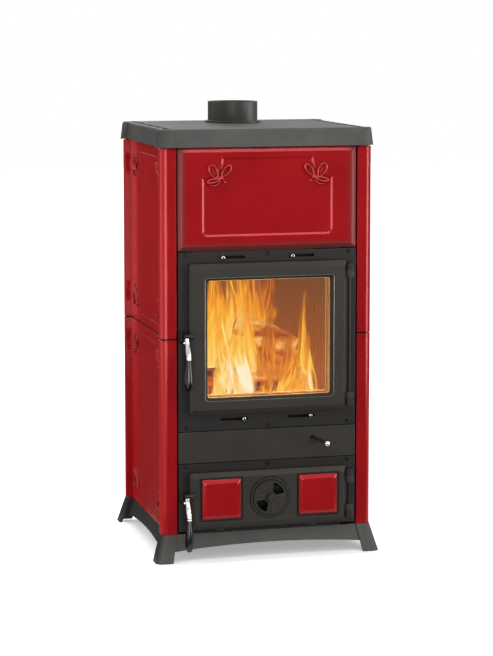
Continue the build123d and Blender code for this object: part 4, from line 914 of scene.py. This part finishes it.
def tongues(name, flames):
    """Sheets over two parameters: up runs from foot to tip, across from edge to edge. The middle line is
    a straight run plus a sine, the half width is the width times a sine of a root of up."""
    points, faces, edges_uv, heats, count = [], [], [], [], 0
    rows, columns = 26, 13
    up = np.linspace(0.0, 1.0, rows)[:, None]
    across = np.linspace(-1.0, 1.0, columns)[None, :]
    for number, (foot, tip, width, sway, heat) in enumerate(flames):
        spread = width * np.sin(math.pi * (0.12 + 0.76 * up) ** 0.75) * (1.0 - 0.25 * up)
        x = foot[0] + (tip[0] - foot[0]) * up + sway * np.sin(4.2 * up + number) + spread * across
        bulge = 0.22 * width * np.cos(across * math.pi / 2)
        bulge = bulge + 0.10 * width * np.sin(5.0 * up + 2.0 * across + number)
        y = foot[1] + (tip[1] - foot[1]) * up - bulge
        z = flame_foot + (tip[2] - flame_foot) * up + 0 * across
        cooled = heat - 0.42 * up + 0 * across
        points.append(np.stack((x, y, z), -1).reshape(-1, 3))
        faces.append(quads(rows, columns, False, False) + count)
        edges_uv.append(np.stack((across + 0 * up, up + 0 * across), -1).reshape(-1, 2))
        heats.append(np.stack((cooled, number + 0 * cooled), -1).reshape(-1, 2))
        count += rows * columns
    data = bpy.data.meshes.new(name)
    data.from_pydata(np.concatenate(points).tolist(), [], np.concatenate(faces).tolist())
    for label, values in (("across_up", edges_uv), ("heat_number", heats)):
        layer = data.attributes.new(label, "FLOAT2", "POINT")
        layer.data.foreach_set("vector", np.concatenate(values).astype(np.float32).ravel())
    data.polygons.foreach_set("use_smooth", np.full(len(data.polygons), True))
    data.materials.append(flame)
    piece = bpy.data.objects.new(name, data)
    bpy.context.scene.collection.objects.link(piece)
    piece.visible_shadow = False
    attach(piece, "stove_body")


# Each flame: X and Y of its foot, its tip, half its width, its sway and its heat
back_flames = (
    ((-0.110, 0.084), (-0.110, 0.086, 0.715), 0.062, 0.010, 0.48),
    ((-0.045, 0.086), (-0.050, 0.088, 0.725), 0.072, 0.012, 0.60),
    ((0.020, 0.084), (0.025, 0.086, 0.725), 0.072, 0.012, 0.54),
    ((0.085, 0.080), (0.080, 0.084, 0.700), 0.060, 0.010, 0.40),
)
middle_flames = (
    ((-0.090, 0.000), (-0.108, -0.005, 0.718), 0.052, 0.014, 0.74),
    ((-0.040, -0.010), (-0.058, -0.012, 0.724), 0.056, 0.012, 0.80),
    ((-0.010, 0.020), (-0.008, 0.015, 0.724), 0.054, 0.016, 0.70),
    ((0.040, 0.010), (0.044, 0.012, 0.720), 0.052, 0.014, 0.60),
)
front_flames = (
    ((-0.005, -0.110), (-0.020, -0.100, 0.716), 0.038, 0.010, 0.66),
    ((0.034, -0.120), (0.030, -0.112, 0.620), 0.044, 0.012, 0.40),
    ((0.078, -0.125), (0.066, -0.118, 0.560), 0.040, 0.012, 0.42),
    ((0.058, -0.155), (0.070, -0.150, 0.540), 0.034, 0.014, 0.66),
    ((-0.105, -0.150), (-0.112, -0.145, 0.560), 0.036, 0.008, 0.86),
    ((-0.080, -0.135), (-0.090, -0.130, 0.600), 0.034, 0.009, 0.92),
    ((-0.048, -0.145), (-0.044, -0.140, 0.640), 0.038, 0.010, 0.90),
    ((0.122, -0.150), (0.112, -0.140, 0.655), 0.036, 0.008, 0.74),
    ((0.020, -0.165), (0.010, -0.160, 0.470), 0.050, 0.010, 0.56),
    ((0.080, -0.165), (0.090, -0.160, 0.470), 0.050, 0.010, 0.60),
    ((-0.120, -0.180), (-0.128, -0.175, 0.470), 0.028, 0.006, 0.84),
    ((-0.070, -0.180), (-0.066, -0.175, 0.460), 0.040, 0.008, 0.94),
)
tongues("flames", back_flames + middle_flames + front_flames)
